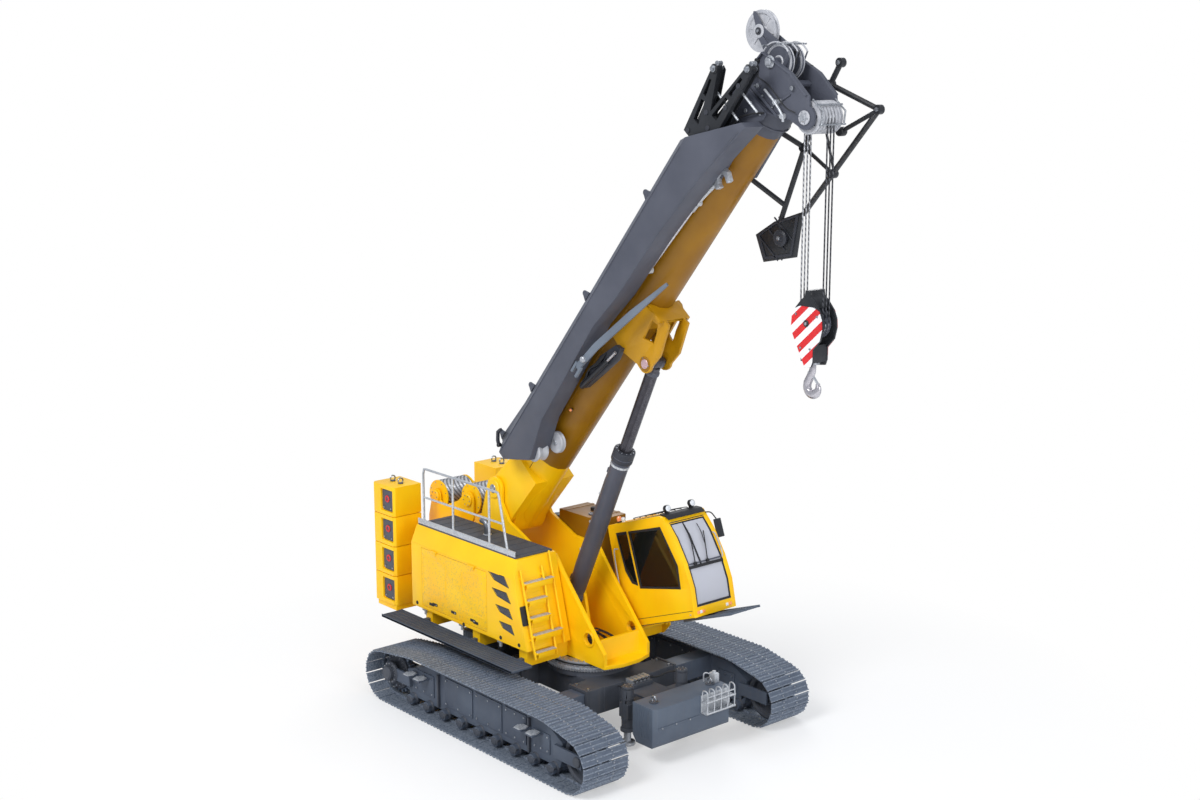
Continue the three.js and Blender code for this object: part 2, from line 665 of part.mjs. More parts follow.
// ---------------------------------------------------------------- cab on its tilting carrier
const cabTilt = new THREE.Group();
cabTilt.position.set(cabPivot[0], 0, cabPivot[1]);
cabTilt.rotation.y = -THREE.MathUtils.degToRad(cabAngle);
upper.add(cabTilt);
const cabOuter = cabInner + cabWidth;
const cabBase = [[0, 0], [1800, 0], [1865, 480], [1830, 900], [1720, 1350], [1560, 1720], [1480, 1760],
  [120, 1790], [40, 900]];
let cab = plate(cabBase, cabInner, cabOuter);
const cabHollow = [[110, 70], [1735, 70], [1800, 480], [1765, 890], [1655, 1330], [1510, 1665],
  [185, 1720], [105, 900]];
cab = cut(cab, plate(cabHollow, cabInner + cabWall, cabOuter - cabWall));
// Windscreen opening, wide and tall, in the curved front.
cab = cut(cab, box(1500, 1950, cabInner + 90, cabOuter - 90, 160, 1590));
// Right side windows.
const bigWindow = [[620, 640], [1610, 520], [1660, 900], [1450, 1560], [640, 1600]];
const rearWindow = [[330, 980], [420, 760], [560, 700], [570, 1600], [300, 1610]];
cab = cut(cab, plate(bigWindow, cabInner - 5, cabInner + cabWall + 5), plate(rearWindow, cabInner - 5, cabInner + cabWall + 5));
// Roof window and rear window.
cab = cut(cab, box(650, 1350, cabInner + 150, cabOuter - 150, 1650, 1900));
cab = cut(cab, box(-50, 200, cabInner + 150, cabOuter - 150, 950, 1600));
// Door opening on the left side.
const doorOutline = [[420, 90], [1480, 90], [1560, 480], [1530, 900], [1330, 1600], [430, 1620]];
cab = cut(cab, plate(doorOutline, cabOuter - cabWall - 5, cabOuter + 5));
// Hinge ears under the cab's rear, bored for the carrier's tilt shaft.
const tiltShaft = 32;
const tiltAxis = [110, -75];
for (const y of [cabInner + 150, cabOuter - 210]) {
  const ear = [[20, 5], [260, 5], [170, -75], ...arc(...tiltAxis, 62, 0, -180, 8), [40, -75]];
  cab = cut(join(cab, plate(ear, y, y + 60)), roundY(tiltShaft + 1, y - 5, y + 65, ...tiltAxis, 20));
}
// The door slides back along the cab's side on the outside.
const doorGrown = [[390, 60], [1500, 60], [1590, 480], [1560, 900], [1350, 1640], [400, 1650]];
const doorPane = [[480, 560], [1500, 560], [1480, 900], [1300, 1560], [490, 1570]];
for (const z of [75, 1628]) {
  cab = join(cab, box(190, 1380, cabOuter - 5, cabOuter + 8 - padGap, z - 10, z + 10));
}
const doorPlate = cut(
  plate(doorGrown, cabOuter + 8, cabOuter + 8 + 40),
  plate(doorPane, cabOuter, cabOuter + 60),
);
node('cab_shell', cab, yellow(), cabTilt);
node('cab_door', doorPlate, yellow(), cabTilt);
const frontCurve = (inset) => [[1800, 0], [1865, 480], [1830, 900], [1720, 1350], [1560, 1720]]
  .map(([x, z]) => [x - inset, z]);
const screenBand = plate([...frontCurve(18), ...frontCurve(28).reverse()], cabInner + 90.5, cabOuter - 90.5);
node('windscreen', screenBand.intersect(box(1400, 1950, cabInner, cabOuter, 160.5, 1589.5)), glass(), cabTilt);
node('right_window', plate(bigWindow, cabInner + 20, cabInner + 26).intersect(plate(bigWindow.map(([x, z]) => [x, z - gap]), cabInner, cabInner + 60)), glass(), cabTilt);

const cushion = join(
  box(520, 1000, 860, 1340, 480, 600),
  plate([[480, 560], [620, 560], [480, 1180], [360, 1180]], 880, 1320),
  box(620, 900, 980, 1220, 70 + gap, 490),
);
node('cab_seat', cushion, fabric(), cabTilt);
node('cab_console', join(
  box(1380, 1600, 900, 1300, 70 + gap, 200),
  plate([[1450, 190], [1560, 190], [1600, 760], [1440, 700]], 960, 1240),
), black(), cabTilt);
node('cab_step', join(
  box(1720, 2480, cabInner + 180, cabOuter - 100, -60, -30),
  box(1300, 1760, cabInner + 180, cabOuter - 100, -60, -gap),
), darkGrey(), cabTilt);

// Carrier arm: from the frame's left side plate out under the cab's rear, with the tilt shaft.
const leanCab = THREE.MathUtils.degToRad(cabAngle);
const shaftX = cabPivot[0] + tiltAxis[0] * Math.cos(leanCab) - tiltAxis[1] * Math.sin(leanCab);
const shaftZ = cabPivot[1] + tiltAxis[0] * Math.sin(leanCab) + tiltAxis[1] * Math.cos(leanCab);
let carrier = join(
  box(-60, 600, plateOuter + gap, cabInner + 40, floorTop + gap, floorTop + 60),
  box(shaftX - 330, shaftX - 130, plateOuter + gap, cabOuter - 60, floorTop - 40, floorTop + 120),
  roundY(tiltShaft, cabInner + 60, cabOuter - 90, shaftX, shaftZ, 20),
);
for (const y of [cabInner + 60, cabOuter - 130]) {
  const bracket = [[shaftX - 330, floorTop - 40], [shaftX - 100, floorTop - 40], [shaftX + 60, shaftZ - 60],
    [shaftX + 60, shaftZ + 20], [shaftX - 60, shaftZ + 40], [shaftX - 330, shaftZ - 40]];
  carrier = join(carrier, plate(bracket, y, y + 40));
}
node('cab_carrier', carrier, yellow(), upper);

// ---------------------------------------------------------------- boom, in its own frame
const boom = new THREE.Group();
boom.position.set(pivotX, 0, pivotZ);
boom.rotation.y = -THREE.MathUtils.degToRad(bodyAngle);
upper.add(boom);

const boomTop = boomDeep - boomUnder;
function boomSection(inset) {
  const half = boomHalf - inset;
  const top = boomTop - inset;
  const low = -boomUnder + inset;
  const round = boomRound - inset;
  const belly = [];
  for (let i = 0; i <= 8; i += 1) {
    const angle = Math.PI + (Math.PI * i) / 8;
    belly.push([half * Math.cos(angle), low + round + round * Math.sin(angle)]);
  }
  return [[half, top - 60], [half - 60, top], [-half + 60, top], [-half, top - 60], ...belly];
}
// Welded foot: two ears around the pin, between the frame's side plates.
// Its side plates keep the full depth at the foot and run out along the belly.
const footSide = [[boomRear, boomTop - 60], [boomRear, -boomUnder + 5], [-300, -boomUnder + 5], [1100, -260],
  [1100, boomTop - 60]];
let baseSection = bar(boomSection(0), boomRear, boomFront);
baseSection = join(baseSection,
  bar(boomSection(-45), boomFront - 260, boomFront),
  plate(footSide, -boomHalf, boomHalf),
  plate([[-230, -600], [900, -650], [900, boomTop - 60], [0, boomTop + 74], ...arc(0, 0, 200, 90, 180, 4)],
    -plateInner + 15, plateInner - 15),
);
const guide = 200;               // length of the sliding guide inside each mouth
baseSection = cut(
  baseSection,
  bar(boomSection(boomWall), 500, boomFront - guide),
  bar(boomSection(boomWall + 8 - padGap), boomFront - guide - 10, boomFront + 10),
  roundY(pinRadius + 1, -plateInner, plateInner, 0, 0, 24),
);
baseSection = cut(baseSection, box(boomRear - 10, 520, -boomHalf + 60, boomHalf - 60, -boomUnder + 200, -130));
node('boom_base', baseSection, amber(), boom);

// Lift bracket plates under the boom, either side of the cylinder's eye.
const [eyeX, eyeZ] = liftEye;
const lugInner = 180;            // clear half width between the lugs at the pin
const lugThick = 50;
const lugSide = [
  [eyeX - 90, -300], [eyeX - 120, -640], ...arc(eyeX, eyeZ, 150, 170, 300, 6), [eyeX + 340, eyeZ - 155],
  [eyeX + 853, eyeZ + 15], [eyeX + 833, -560], [eyeX + 530, -400],
];
const lugHole = [[eyeX + 333, -820], [eyeX + 393, -1010], [eyeX + 713, -900], [eyeX + 713, -790]];
const side = boomHalf + gap;
const lugs = [];
for (const sign of [-1, 1]) {
  const strip = [
    [side, -280], [side, -620], [lugInner, -950], [lugInner, -1260], [lugInner + lugThick, -1260],
    [lugInner + lugThick, -950], [side + 35, -650], [side + 35, -280],
  ].map(([y, z]) => [sign * y, z]);
  const outline = sign < 0 ? strip : strip.reverse();
  const lug = bar(outline, eyeX - 400, eyeX + 1000).intersect(plate(lugSide, -500, 500));
  lugs.push(cut(lug, plate(lugHole, -500, 500)));
}
const lugFlange = join(
  box(eyeX + 450, eyeX + 850, -side + 30, side - 30, -boomUnder - 50, -boomUnder + 20),
  box(eyeX + 793, eyeX + 853, -side + 20, side - 20, -boomUnder - 240, -boomUnder + 120),
);
const boomSpace = bar(boomSection(-gap), 0, boomFront);
node('lift_bracket', cut(join(...lugs, lugFlange), boomSpace), amber(), boom);

// Telescoping sections, each a hollow tube inside the one before.
for (let i = 2; i <= 5; i += 1) {
  const outer = boomWall + 8 + (i - 2) * sectionStep;
  const start = 620 + (i - 2) * 90;
  const end = boomFront + (i - 1) * 12;
  let tube = bar(boomSection(outer), start, boomFront - 30);
  tube = join(tube, bar(boomSection(outer), boomFront - 40, end - gap));
  if (i < 5) {
    tube = cut(
      tube,
      bar(boomSection(outer + 20), start - 10, end - guide),
      bar(boomSection(outer + sectionStep - padGap), end - guide - 10, end + 10),
    );
  } else {
    tube = cut(tube, bar(boomSection(outer + 20), start - 10, end + 10));
  }
  node(`boom_section_${i}`, tube, steel(), boom);
}

// Boom head: two cheek plates joined by walls, carried by the last section.
const headStart = boomFront + 4 * 12 + 5;
const [lowX, lowZ] = headSheaveAxis;
const [topX, topZ] = topSheaveAxis;
const [noseX, noseZ] = noseSheaveAxis;
const cheekInner = 255;
const cheekOuter = 300;
const cheek = [
  [headStart, -100], [headStart, -770], [headStart + 120, -950], ...arc(lowX, lowZ, 170, 200, 375, 12),
  [headStart + 600, -1000], [headStart + 630, -550], [headStart + 500, 60], [headStart + 360, 80],
  [headStart + 240, -60], [headStart + 130, -160],
];
let head = join(
  plate(cheek, -cheekOuter, -cheekInner),
  plate(cheek, cheekInner, cheekOuter),
  box(headStart, headStart + 40, -boomHalf, boomHalf, -boomUnder - 50, boomTop + 20),
  bar(boomSection(boomWall + 8 + 3 * sectionStep + 20 + gap), boomFront - 500, headStart + 10),
);
head = join(head, roundY(45, -cheekOuter - 30, cheekOuter + 30, lowX, lowZ, 16));
head = join(head, roundY(60, -cheekOuter - 20, cheekOuter + 20, topX, topZ, 16));
// Two guide sheaves on the upper axle, held still.
for (const y of [-105, 105]) {
  head = join(head, roundY(topSheaveRadius, y - 30, y + 30, topX, topZ, 24));
}
const noseArm = [[topX - 230, topZ + 60], [topX - 90, topZ - 60], [topX + 90, topZ - 60],
  ...arc(noseX, noseZ, 65, 0, 180, 6)];
head = join(head, plate(noseArm, -68, -50), plate(noseArm, 50, 68));
head = join(head, box(headStart + 380, headStart + 430, -cheekOuter + 5, cheekOuter - 5, -560, -480));
head = join(head, roundY(25, -60, 60, noseX, noseZ, 12));
node('boom_head', head, darkGrey(), boom);

// Grooved sheaves side by side on one axle, turned in one piece.
function sheavePack(axleRadius, radius, depth, pitch, count, x, z, sides) {
  const bore = axleRadius + 1;
  const start = (-pitch * count) / 2;
  const profile = [[bore, start]];
  for (let i = 0; i < count; i += 1) {
    const y = start + i * pitch;
    profile.push([radius, y], [radius, y + pitch * 0.2], [radius - depth, y + pitch * 0.3]);
    profile.push([radius - depth, y + pitch * 0.7], [radius, y + pitch * 0.8], [radius, y + pitch]);
  }
  profile.push([bore, -start]);
  const unique = profile.filter(([r, y], i) => i === 0 || r !== profile[i - 1][0] || y !== profile[i - 1][1]);
  return turnedY(unique, x, z, sides);
}
const headPack = sheavePack(45, sheaveRadius, grooveDepth, ropePitch, headSheaveCount, lowX, lowZ, 48);
node('head_sheaves', headPack, steel(), boom);
node('nose_sheave', sheavePack(25, noseSheaveRadius, 35, 80, 1, noseX, noseZ, 32), steel(), boom);

// Stowed jib along the right side of the boom, on two brackets.
{
  const near = -boomHalf - 130;
  const far = near - 370;
  const jibFront = boomFront - 110;
  const jibSide = [
    [1000, 360], [1010, -100], [1560, -590], [2330, -370], [4500, -280], [5260, -380],
    [jibFront - 2390, -430], [jibFront - 1070, -560], [jibFront, -760], [jibFront - 10, -650],
    [jibFront - 1100, 210], [jibFront - 1140, 250], [2010, 275],
  ];
  const section = [[near, 300], [near, -800], [far, -800], [far, 60], [near - 170, 265], [near - 130, 380]];
  const jib = plate(jibSide, far - 1, near + 1).intersect(bar(section.reverse(), 900, boomFront));
  const brackets = [2400, 7000].map((x) => box(x - 110, x + 110, near - 5, -boomHalf - gap, -230, 40));
  node('stowed_jib', join(jib, ...brackets), darkGrey(), boom);

  // Two forked arms on the slanted end of the jib.
  const root = jibFront - 1100;
  const armOne = [[root + 160, 60], [root + 420, -150], [root + 1260, 260], [root + 1300, 320], [root + 1240, 380],
    [root + 160, 240]];
  const armTwo = [[root + 400, -130], [root + 600, -300], [root + 1660, -260], [root + 1730, -200],
    [root + 1660, -140], [root + 560, 20]];
  const endFace = [[root, 210], [root, -900], [jibFront + 90, -900], [jibFront - 10, -650]];
  const clear = plate(endFace.map(([x, z]) => [x, z + 1.3 * gap]), far - 10, near + 10);
  const truss = [
    [[root + 420, 60], [root + 760, 180], [root + 740, 250], [root + 420, 190]],
    [[root + 820, 200], [root + 1080, 270], [root + 1060, 310], [root + 820, 270]],
    [[root + 700, -180], [root + 1080, -180], [root + 1080, -110], [root + 700, -60]],
    [[root + 1150, -190], [root + 1480, -200], [root + 1480, -150], [root + 1150, -115]],
  ];
  const armPlates = join(plate(armOne, near - 250, near - 170), plate(armTwo, near - 250, near - 170));
  const holes = truss.map((points) => plate(points, far - 10, near + 10));
  node('jib_fork', cut(armPlates, clear, ...holes), black(), boom);
}

// Fly frame folded along the left side of the head.
{
  const y = boomHalf + 410;
  const flyEnd = boomFront + 740;
  const lower = [flyEnd, y, -1420];
  const joint = [flyEnd - 330, y, -500];
  const path = [[flyEnd - 2540, y, -1100], [flyEnd - 1340, y, -720], [flyEnd - 690, y, -550], joint,
    [flyEnd + 30, y, -450]];
  const tubes = path.slice(1).map((point, i) => rod(path[i], point, 42));
  tubes.push(
    rod([flyEnd - 2090, y, -1350], lower, 42),
    rod(joint, lower, 42),
    rod([flyEnd - 690, y, -1100], lower, 34),
    rod([flyEnd - 690, y, -1100], [flyEnd - 690, y, -550], 30),
    rod([flyEnd - 1340, y, -720], [flyEnd - 1250, y, -1380], 30),
    rod([flyEnd - 2240, boomHalf + 40, -180], [flyEnd - 2240, y, -1010], 40),
    rod([flyEnd - 1340, boomHalf + 40, -180], [flyEnd - 1340, y, -720], 40),
    box(flyEnd - 2300, flyEnd - 2180, boomHalf + gap, boomHalf + 60, -290, -100),
    box(flyEnd - 1400, flyEnd - 1280, boomHalf + gap, boomHalf + 60, -290, -100),
    plate([[flyEnd - 2550, -1020], [flyEnd - 2970, -870], [flyEnd - 3170, -1260], [flyEnd - 2680, -1660],
      [flyEnd - 2090, -1310]].reverse(), y - 40, y + 40),
  );
  node('fly_frame', join(...tubes), black(), boom);
}

// ---------------------------------------------------------------- lift cylinder
const liftGroup = new THREE.Group();
const tilt = THREE.MathUtils.degToRad(bodyAngle);
const eyeWorldX = pivotX + eyeX * Math.cos(tilt) - eyeZ * Math.sin(tilt);
const eyeWorldZ = pivotZ + eyeX * Math.sin(tilt) + eyeZ * Math.cos(tilt);
const liftLength = Math.hypot(eyeWorldX - footX, eyeWorldZ - footZ);
const liftAngle = Math.atan2(eyeWorldZ - footZ, eyeWorldX - footX);
liftGroup.position.set(footX, 0, footZ);
liftGroup.rotation.y = -liftAngle;
upper.add(liftGroup);

function roundX(radius, x0, x1, sides = 28) {
  const geometry = new THREE.CylinderGeometry(radius, radius, x1 - x0, sides);
  geometry.rotateZ(Math.PI / 2);
  geometry.translate((x0 + x1) / 2, 0, 0);
  return toSolid(geometry);
}
let barrel = join(
  roundX(barrelRadius, 178, barrelLength),
  box(20, 200, -eyeHalf, eyeHalf, -100, 100),
  roundX(collarRadius, barrelLength - 190, barrelLength),
  roundY(130, -eyeHalf, eyeHalf, 0, 0, 24),
);
barrel = cut(barrel, roundX(rodRadius + 1, 260, barrelLength + 10), roundY(footPinRadius + 1, -200, 200, 0, 0, 20));
node('lift_barrel', barrel, darkGrey(), liftGroup);
const liftRod = join(
  roundX(rodRadius, rodInner, liftLength - 70),
  roundY(eyeRadius, -eyeHalf, eyeHalf, liftLength, 0, 24),
  roundY(60, -lugInner + 6, lugInner - 6, liftLength, 0, 16),
);
node('lift_rod', liftRod, steel(), liftGroup);

// ---------------------------------------------------------------- hook rig, always plumb
const rig = new THREE.Group();
const sheaveWorldX = pivotX + lowX * Math.cos(tilt) - lowZ * Math.sin(tilt);
const sheaveWorldZ = pivotZ + lowX * Math.sin(tilt) + lowZ * Math.cos(tilt);
rig.position.set(sheaveWorldX, 0, sheaveWorldZ);
upper.add(rig);
const fallX = sheaveRadius - grooveDepth + ropeRadius + gap;
const blockSheaveZ = -fallLength;
const falls = [];
for (let i = -1; i <= 1; i += 1) {
  const y = i * ropePitch;
  for (const x of [-fallX, fallX]) {
    falls.push(rod([x, y, 0], [x, y, blockSheaveZ], ropeRadius, 8));
  }
  falls.push(rod([-fallX - 4, y, blockSheaveZ], [fallX + 4, y, blockSheaveZ], ropeRadius + 4, 8));
}
const blockHalf = 130;           // half width between the block's cheek plates
const blockSheave = fallX - ropeRadius + 1;
falls.push(roundY(blockSheave, -blockHalf + 12, blockHalf - 12, 0, blockSheaveZ, 28));
falls.push(rod([0, -blockHalf + gap, blockSheaveZ], [0, blockHalf - gap, blockSheaveZ], 45, 12));
node('hoist_ropes', join(...falls), steel(), rig);

// Hook block: two cheek plates around the rope sheaves, a cap between the falls and a crosshead below.
const cheekPlate = [
  [-20, -635], [100, -620], [130, -540], [130, -360], [260, -220], [300, -60], [290, 80], [235, 200],
  [120, 330], [50, 385], [40, 470], [-40, 470], [-50, 385], [-120, 330], [-235, 200], [-290, 80],
  [-300, -60], [-270, -180], [-190, -320], [-140, -420],
].map(([x, z]) => [x, z + blockSheaveZ]);
const capPlate = [[-150, 222], [150, 222], [110, 335], [45, 385], [35, 470], [-35, 470], [-45, 385], [-110, 335]]
  .map(([x, z]) => [x, z + blockSheaveZ]);
const crosshead = blockSheaveZ - 560;
const block = join(
  plate(cheekPlate, -blockHalf - 30, -blockHalf),
  plate(cheekPlate, blockHalf, blockHalf + 30),
  plate(capPlate, -blockHalf - 5, blockHalf + 5),
  box(-125, 125, -blockHalf - 5, blockHalf + 5, crosshead, blockSheaveZ - 310),
);
node('hook_block', block, black(), rig);

// Swivel hook: shank, a round bowl and an open throat.
const hookCentre = crosshead - 380;
const hookOuter = 170;
const hookInner = 85;
const hook = join(
  plate([...arc(0, hookCentre, hookOuter, -200, 20, 16), ...arc(0, hookCentre, hookInner, 20, -200, 12)], -48, 48),
  plate([[-hookOuter, hookCentre + 20], [-hookInner + 3, hookCentre + 20], [42, crosshead - 120],
    [42, crosshead - 60], [-42, crosshead - 60], [-95, crosshead - 120]], -42, 42),
  roundZ(42, crosshead - 110, crosshead - gap, 0, 0, 16),
);
node('hook', hook, steel(), rig);

// ---------------------------------------------------------------- origin under the middle of the machine
machine.updateMatrixWorld(true);
const bounds = new THREE.Box3().setFromObject(machine, true);
const centre = bounds.getCenter(new THREE.Vector3());
machine.position.set(-centre.x, -centre.y, -bounds.min.z);

export default machine;
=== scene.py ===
import json
import math

import bmesh
import bpy
from mathutils import Matrix, Vector


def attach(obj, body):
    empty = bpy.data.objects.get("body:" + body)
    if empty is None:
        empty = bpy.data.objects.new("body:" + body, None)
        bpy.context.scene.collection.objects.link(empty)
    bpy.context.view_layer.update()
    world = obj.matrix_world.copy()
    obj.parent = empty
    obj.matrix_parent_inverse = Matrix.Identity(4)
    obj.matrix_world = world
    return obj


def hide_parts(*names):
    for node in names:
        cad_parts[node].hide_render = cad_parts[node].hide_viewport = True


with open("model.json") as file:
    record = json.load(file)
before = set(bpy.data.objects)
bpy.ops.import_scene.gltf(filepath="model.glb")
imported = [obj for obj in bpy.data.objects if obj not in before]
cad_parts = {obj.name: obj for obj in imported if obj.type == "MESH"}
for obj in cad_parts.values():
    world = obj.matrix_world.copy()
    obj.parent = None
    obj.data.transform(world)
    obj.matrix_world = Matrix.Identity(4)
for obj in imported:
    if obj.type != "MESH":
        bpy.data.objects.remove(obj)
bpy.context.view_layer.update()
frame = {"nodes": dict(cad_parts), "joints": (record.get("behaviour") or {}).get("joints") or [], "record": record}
bodyOf = {node: body for body, nodes in frame["record"]["behaviour"]["bodies"].items() for node in nodes}
joints = {joint["name"]: joint for joint in frame["joints"]}


def ownFrame(place, along):  # x runs along the part, y is the machine's left
    return Matrix.Translation(place) @ Matrix.Rotation(-math.atan2(along[2], along[0]), 4, "Y")


slewFrame = Matrix.Translation((joints["slew"]["pos_m"][0], 0, 0))
boomFrame = ownFrame(joints["boom_luff"]["pos_m"], joints["telescope_2"]["axis"])
liftFrame = ownFrame(joints["lift_barrel_swing"]["pos_m"], joints["lift_rod_slide"]["axis"])
rigFrame = Matrix.Translation(joints["hook_plumb"]["pos_m"])
cabTurn = ownFrame((0, 0, 0), -Vector(joints["cab_door_slide"]["axis"]))
tiltPin = Vector((0.11, 1.1, -0.075))  # where the tilt joint is, in the cab's own frame
cabFrame = Matrix.Translation(Vector(joints["cab_tilt"]["pos_m"]) - cabTurn @ tiltPin) @ cabTurn
print("frame loaded")


# shape helpers: every shape is a bmesh in metres, in the frame of the part it belongs to

def arcPoints(centre, radius, start, end, steps):  # angles in degrees
    angles = [math.radians(start + (end - start) * i / steps) for i in range(steps + 1)]
    return [(centre[0] + radius * math.cos(a), centre[1] + radius * math.sin(a)) for a in angles]


standing = {  # how an outline's a, b and its depth d stand in space
    "xz": lambda a, b, d: (a, d, b),
    "xy": lambda a, b, d: (a, b, d),
    "yz": lambda a, b, d: (d, a, b),
}
acrossAxis = {"x": "yz", "y": "xz", "z": "xy"}


def prism(outline, low, high, plane="xz"):  # an outline pushed from low to high
    put = standing[plane]
    shape = bmesh.new()
    near, far = ([shape.verts.new(put(a, b, d)) for a, b in outline] for d in (low, high))
    shape.faces.new(near)
    shape.faces.new(far)
    for i, corner in enumerate(near):
        j = (i + 1) % len(near)
        shape.faces.new((corner, near[j], far[j], far[i]))
    bmesh.ops.recalc_face_normals(shape, faces=shape.faces)
    return shape


def block(low, high):
    (x0, y0, z0), (x1, y1, z1) = low, high
    return prism([(x0, z0), (x1, z0), (x1, z1), (x0, z1)], y0, y1)


def turned(profile, sides=32, axis="y", at=(0, 0, 0)):  # profile lists (radius, place along the axis)
    shape = bmesh.new()
    put = standing[acrossAxis[axis]]
    rings = []
    for radius, along in profile:
        if radius < 1e-6:
            rings.append([shape.verts.new(Vector(put(0, 0, along)) + Vector(at))] * sides)
            continue
        turn = [2 * math.pi * i / sides for i in range(sides)]
        rings.append([
            shape.verts.new(Vector(put(radius * math.cos(a), radius * math.sin(a), along)) + Vector(at))
            for a in turn
        ])
    closed = profile[0][0] > 1e-6 and profile[-1][0] > 1e-6
    pairs = list(zip(rings, rings[1:])) + ([(rings[-1], rings[0])] if closed else [])
    for first, second in pairs:
        for i in range(sides):
            j = (i + 1) % sides
            corners = []
            for vert in (first[i], first[j], second[j], second[i]):
                if vert not in corners:
                    corners.append(vert)
            if len(corners) > 2:
                shape.faces.new(corners)
    bmesh.ops.recalc_face_normals(shape, faces=shape.faces)
    return shape


def disc(radius, low, high, axis="y", at=(0, 0, 0), sides=32, edge=0.004):
    edge = min(edge, (high - low) / 3, radius / 3)
    profile = [(0, low), (radius - edge, low), (radius, low + edge), (radius, high - edge),
               (radius - edge, high), (0, high)]
    return turned(profile, sides, axis, at)


def ring(inner, outer, low, high, axis="y", at=(0, 0, 0), sides=32, edge=0.004):
    edge = min(edge, (high - low) / 3, (outer - inner) / 3)
    profile = [(inner, low), (outer - edge, low), (outer, low + edge), (outer, high - edge),
               (outer - edge, high), (inner, high)]
    return turned(profile, sides, axis, at)


def smoothPath(points, steps):  # rounds a route through its points
    if steps < 2 or len(points) < 3:
        return [Vector(p) for p in points]
    route = [Vector(p) for p in points]
    ends = [2 * route[0] - route[1]] + route + [2 * route[-1] - route[-2]]
    out = []
    for i in range(1, len(ends) - 2):
        a, b, c, d = ends[i - 1:i + 3]
        for k in range(steps):
            t = k / steps
            out.append(0.5 * (2 * b + (c - a) * t + (2 * a - 5 * b + 4 * c - d) * t * t
                              + (3 * b - a - 3 * c + d) * t ** 3))
    return out + [route[-1]]


def skinned(shape, rows):  # a skin over rows of corners, closed at both ends
    for first, second in zip(rows, rows[1:]):
        for i in range(len(first)):
            j = (i + 1) % len(first)
            shape.faces.new((first[i], first[j], second[j], second[i]))
    shape.faces.new(rows[0])
    shape.faces.new(rows[-1])
    bmesh.ops.recalc_face_normals(shape, faces=shape.faces)
    return shape


def tube(points, radius, sides=10, steps=1):
    route = smoothPath(points, steps)
    shape = bmesh.new()
    rings = []
    side = None
    for i, point in enumerate(route):
        ahead = (route[min(i + 1, len(route) - 1)] - route[max(i - 1, 0)]).normalized()
        if side is None:
            side = ahead.orthogonal().normalized()
        side = (side - ahead * side.dot(ahead)).normalized()
        up = ahead.cross(side)
        angles = [2 * math.pi * k / sides for k in range(sides)]
        rings.append([shape.verts.new(point + radius * (math.cos(a) * side + math.sin(a) * up))
            for a in angles])
    return skinned(shape, rings)


def roundedOutline(x0, x1, z0, z1, radius, steps=5):
    corners = (((x1 - radius, z0 + radius), -90), ((x1 - radius, z1 - radius), 0),
        ((x0 + radius, z1 - radius), 90), ((x0 + radius, z0 + radius), 180))
    return [p for centre, start in corners for p in arcPoints(centre, radius, start, start + 90, steps)]


# a flat frame: two outlines with the same count of corners
def frameBetween(outer, inner, low, high, plane="xz"):
    put = standing[plane]
    shape = bmesh.new()
    rows = [[shape.verts.new(put(a, b, d)) for a, b in line] for line in (outer, inner)
        for d in (low, high)]
    for first, second in ((rows[0], rows[1]), (rows[2], rows[3]), (rows[0], rows[2]), (rows[1], rows[3])):
        for i in range(len(outer)):
            j = (i + 1) % len(outer)
            shape.faces.new((first[i], first[j], second[j], second[i]))
    bmesh.ops.recalc_face_normals(shape, faces=shape.faces)
    return shape


def ringPlate(outline, inner, low, high):  # a flat plate with one hole, same corner order in both loops
    shape = bmesh.new()
    ratio = len(outline) / len(inner)
    rows = {}
    for key, points in (("out", outline), ("in", inner)):
        for z in (low, high):
            rows[key, z] = [shape.verts.new((x, y, z)) for x, y in points]
    for key, points in (("out", outline), ("in", inner)):
        count = len(points)
        for i in range(count):
            j = (i + 1) % count
            shape.faces.new((rows[key, low][i], rows[key, low][j], rows[key, high][j], rows[key, high][i]))
    for z in (low, high):
        for i in range(len(inner)):
            j = (i + 1) % len(inner)
            start, stop = int(i * ratio), int((i + 1) * ratio)
            span = [rows["out", z][k % len(outline)] for k in range(start, stop + 1)]
            shape.faces.new([rows["in", z][i]] + span + [rows["in", z][j]])
    bmesh.ops.recalc_face_normals(shape, faces=shape.faces)
    return shape


def strap(points, wide, deep):  # a flat bar along a route: wide across, deep up and down
    route = [Vector(p) for p in points]
    shape = bmesh.new()
    rows = []
    for i, point in enumerate(route):
        ahead = (route[min(i + 1, len(route) - 1)] - route[max(i - 1, 0)]).normalized()
        side = (Vector((0, 1, 0)) - ahead * ahead.y).normalized()
        up = ahead.cross(side)
        high = deep[i] if isinstance(deep, (list, tuple)) else deep
        rows.append([shape.verts.new(point + side * a * wide / 2 + up * b * high / 2)
                     for a, b in ((-1, -1), (1, -1), (1, 1), (-1, 1))])
    return skinned(shape, rows)


def swept(route, flat=1.0, sides=24):  # route lists (x, z, radius); flat narrows it across y
    shape = bmesh.new()
    rings = []
    for i, (x, z, radius) in enumerate(route):
        before, after = route[max(i - 1, 0)], route[min(i + 1, len(route) - 1)]
        ahead = Vector((after[0] - before[0], after[1] - before[1])).normalized()
        loop = []
        for k in range(sides):
            a = 2 * math.pi * k / sides
            out = radius * math.cos(a)
            loop.append(shape.verts.new((x - ahead.y * out, radius * flat * math.sin(a),
                z + ahead.x * out)))
        rings.append(loop)
    return skinned(shape, rings)


def grown(outline, by):  # an outline pushed out from its middle by a fixed distance
    middle = Vector((sum(p[0] for p in outline) / len(outline), sum(p[1] for p in outline) / len(outline)))
    return [tuple(Vector(p) + (Vector(p) - middle).normalized() * by) for p in outline]


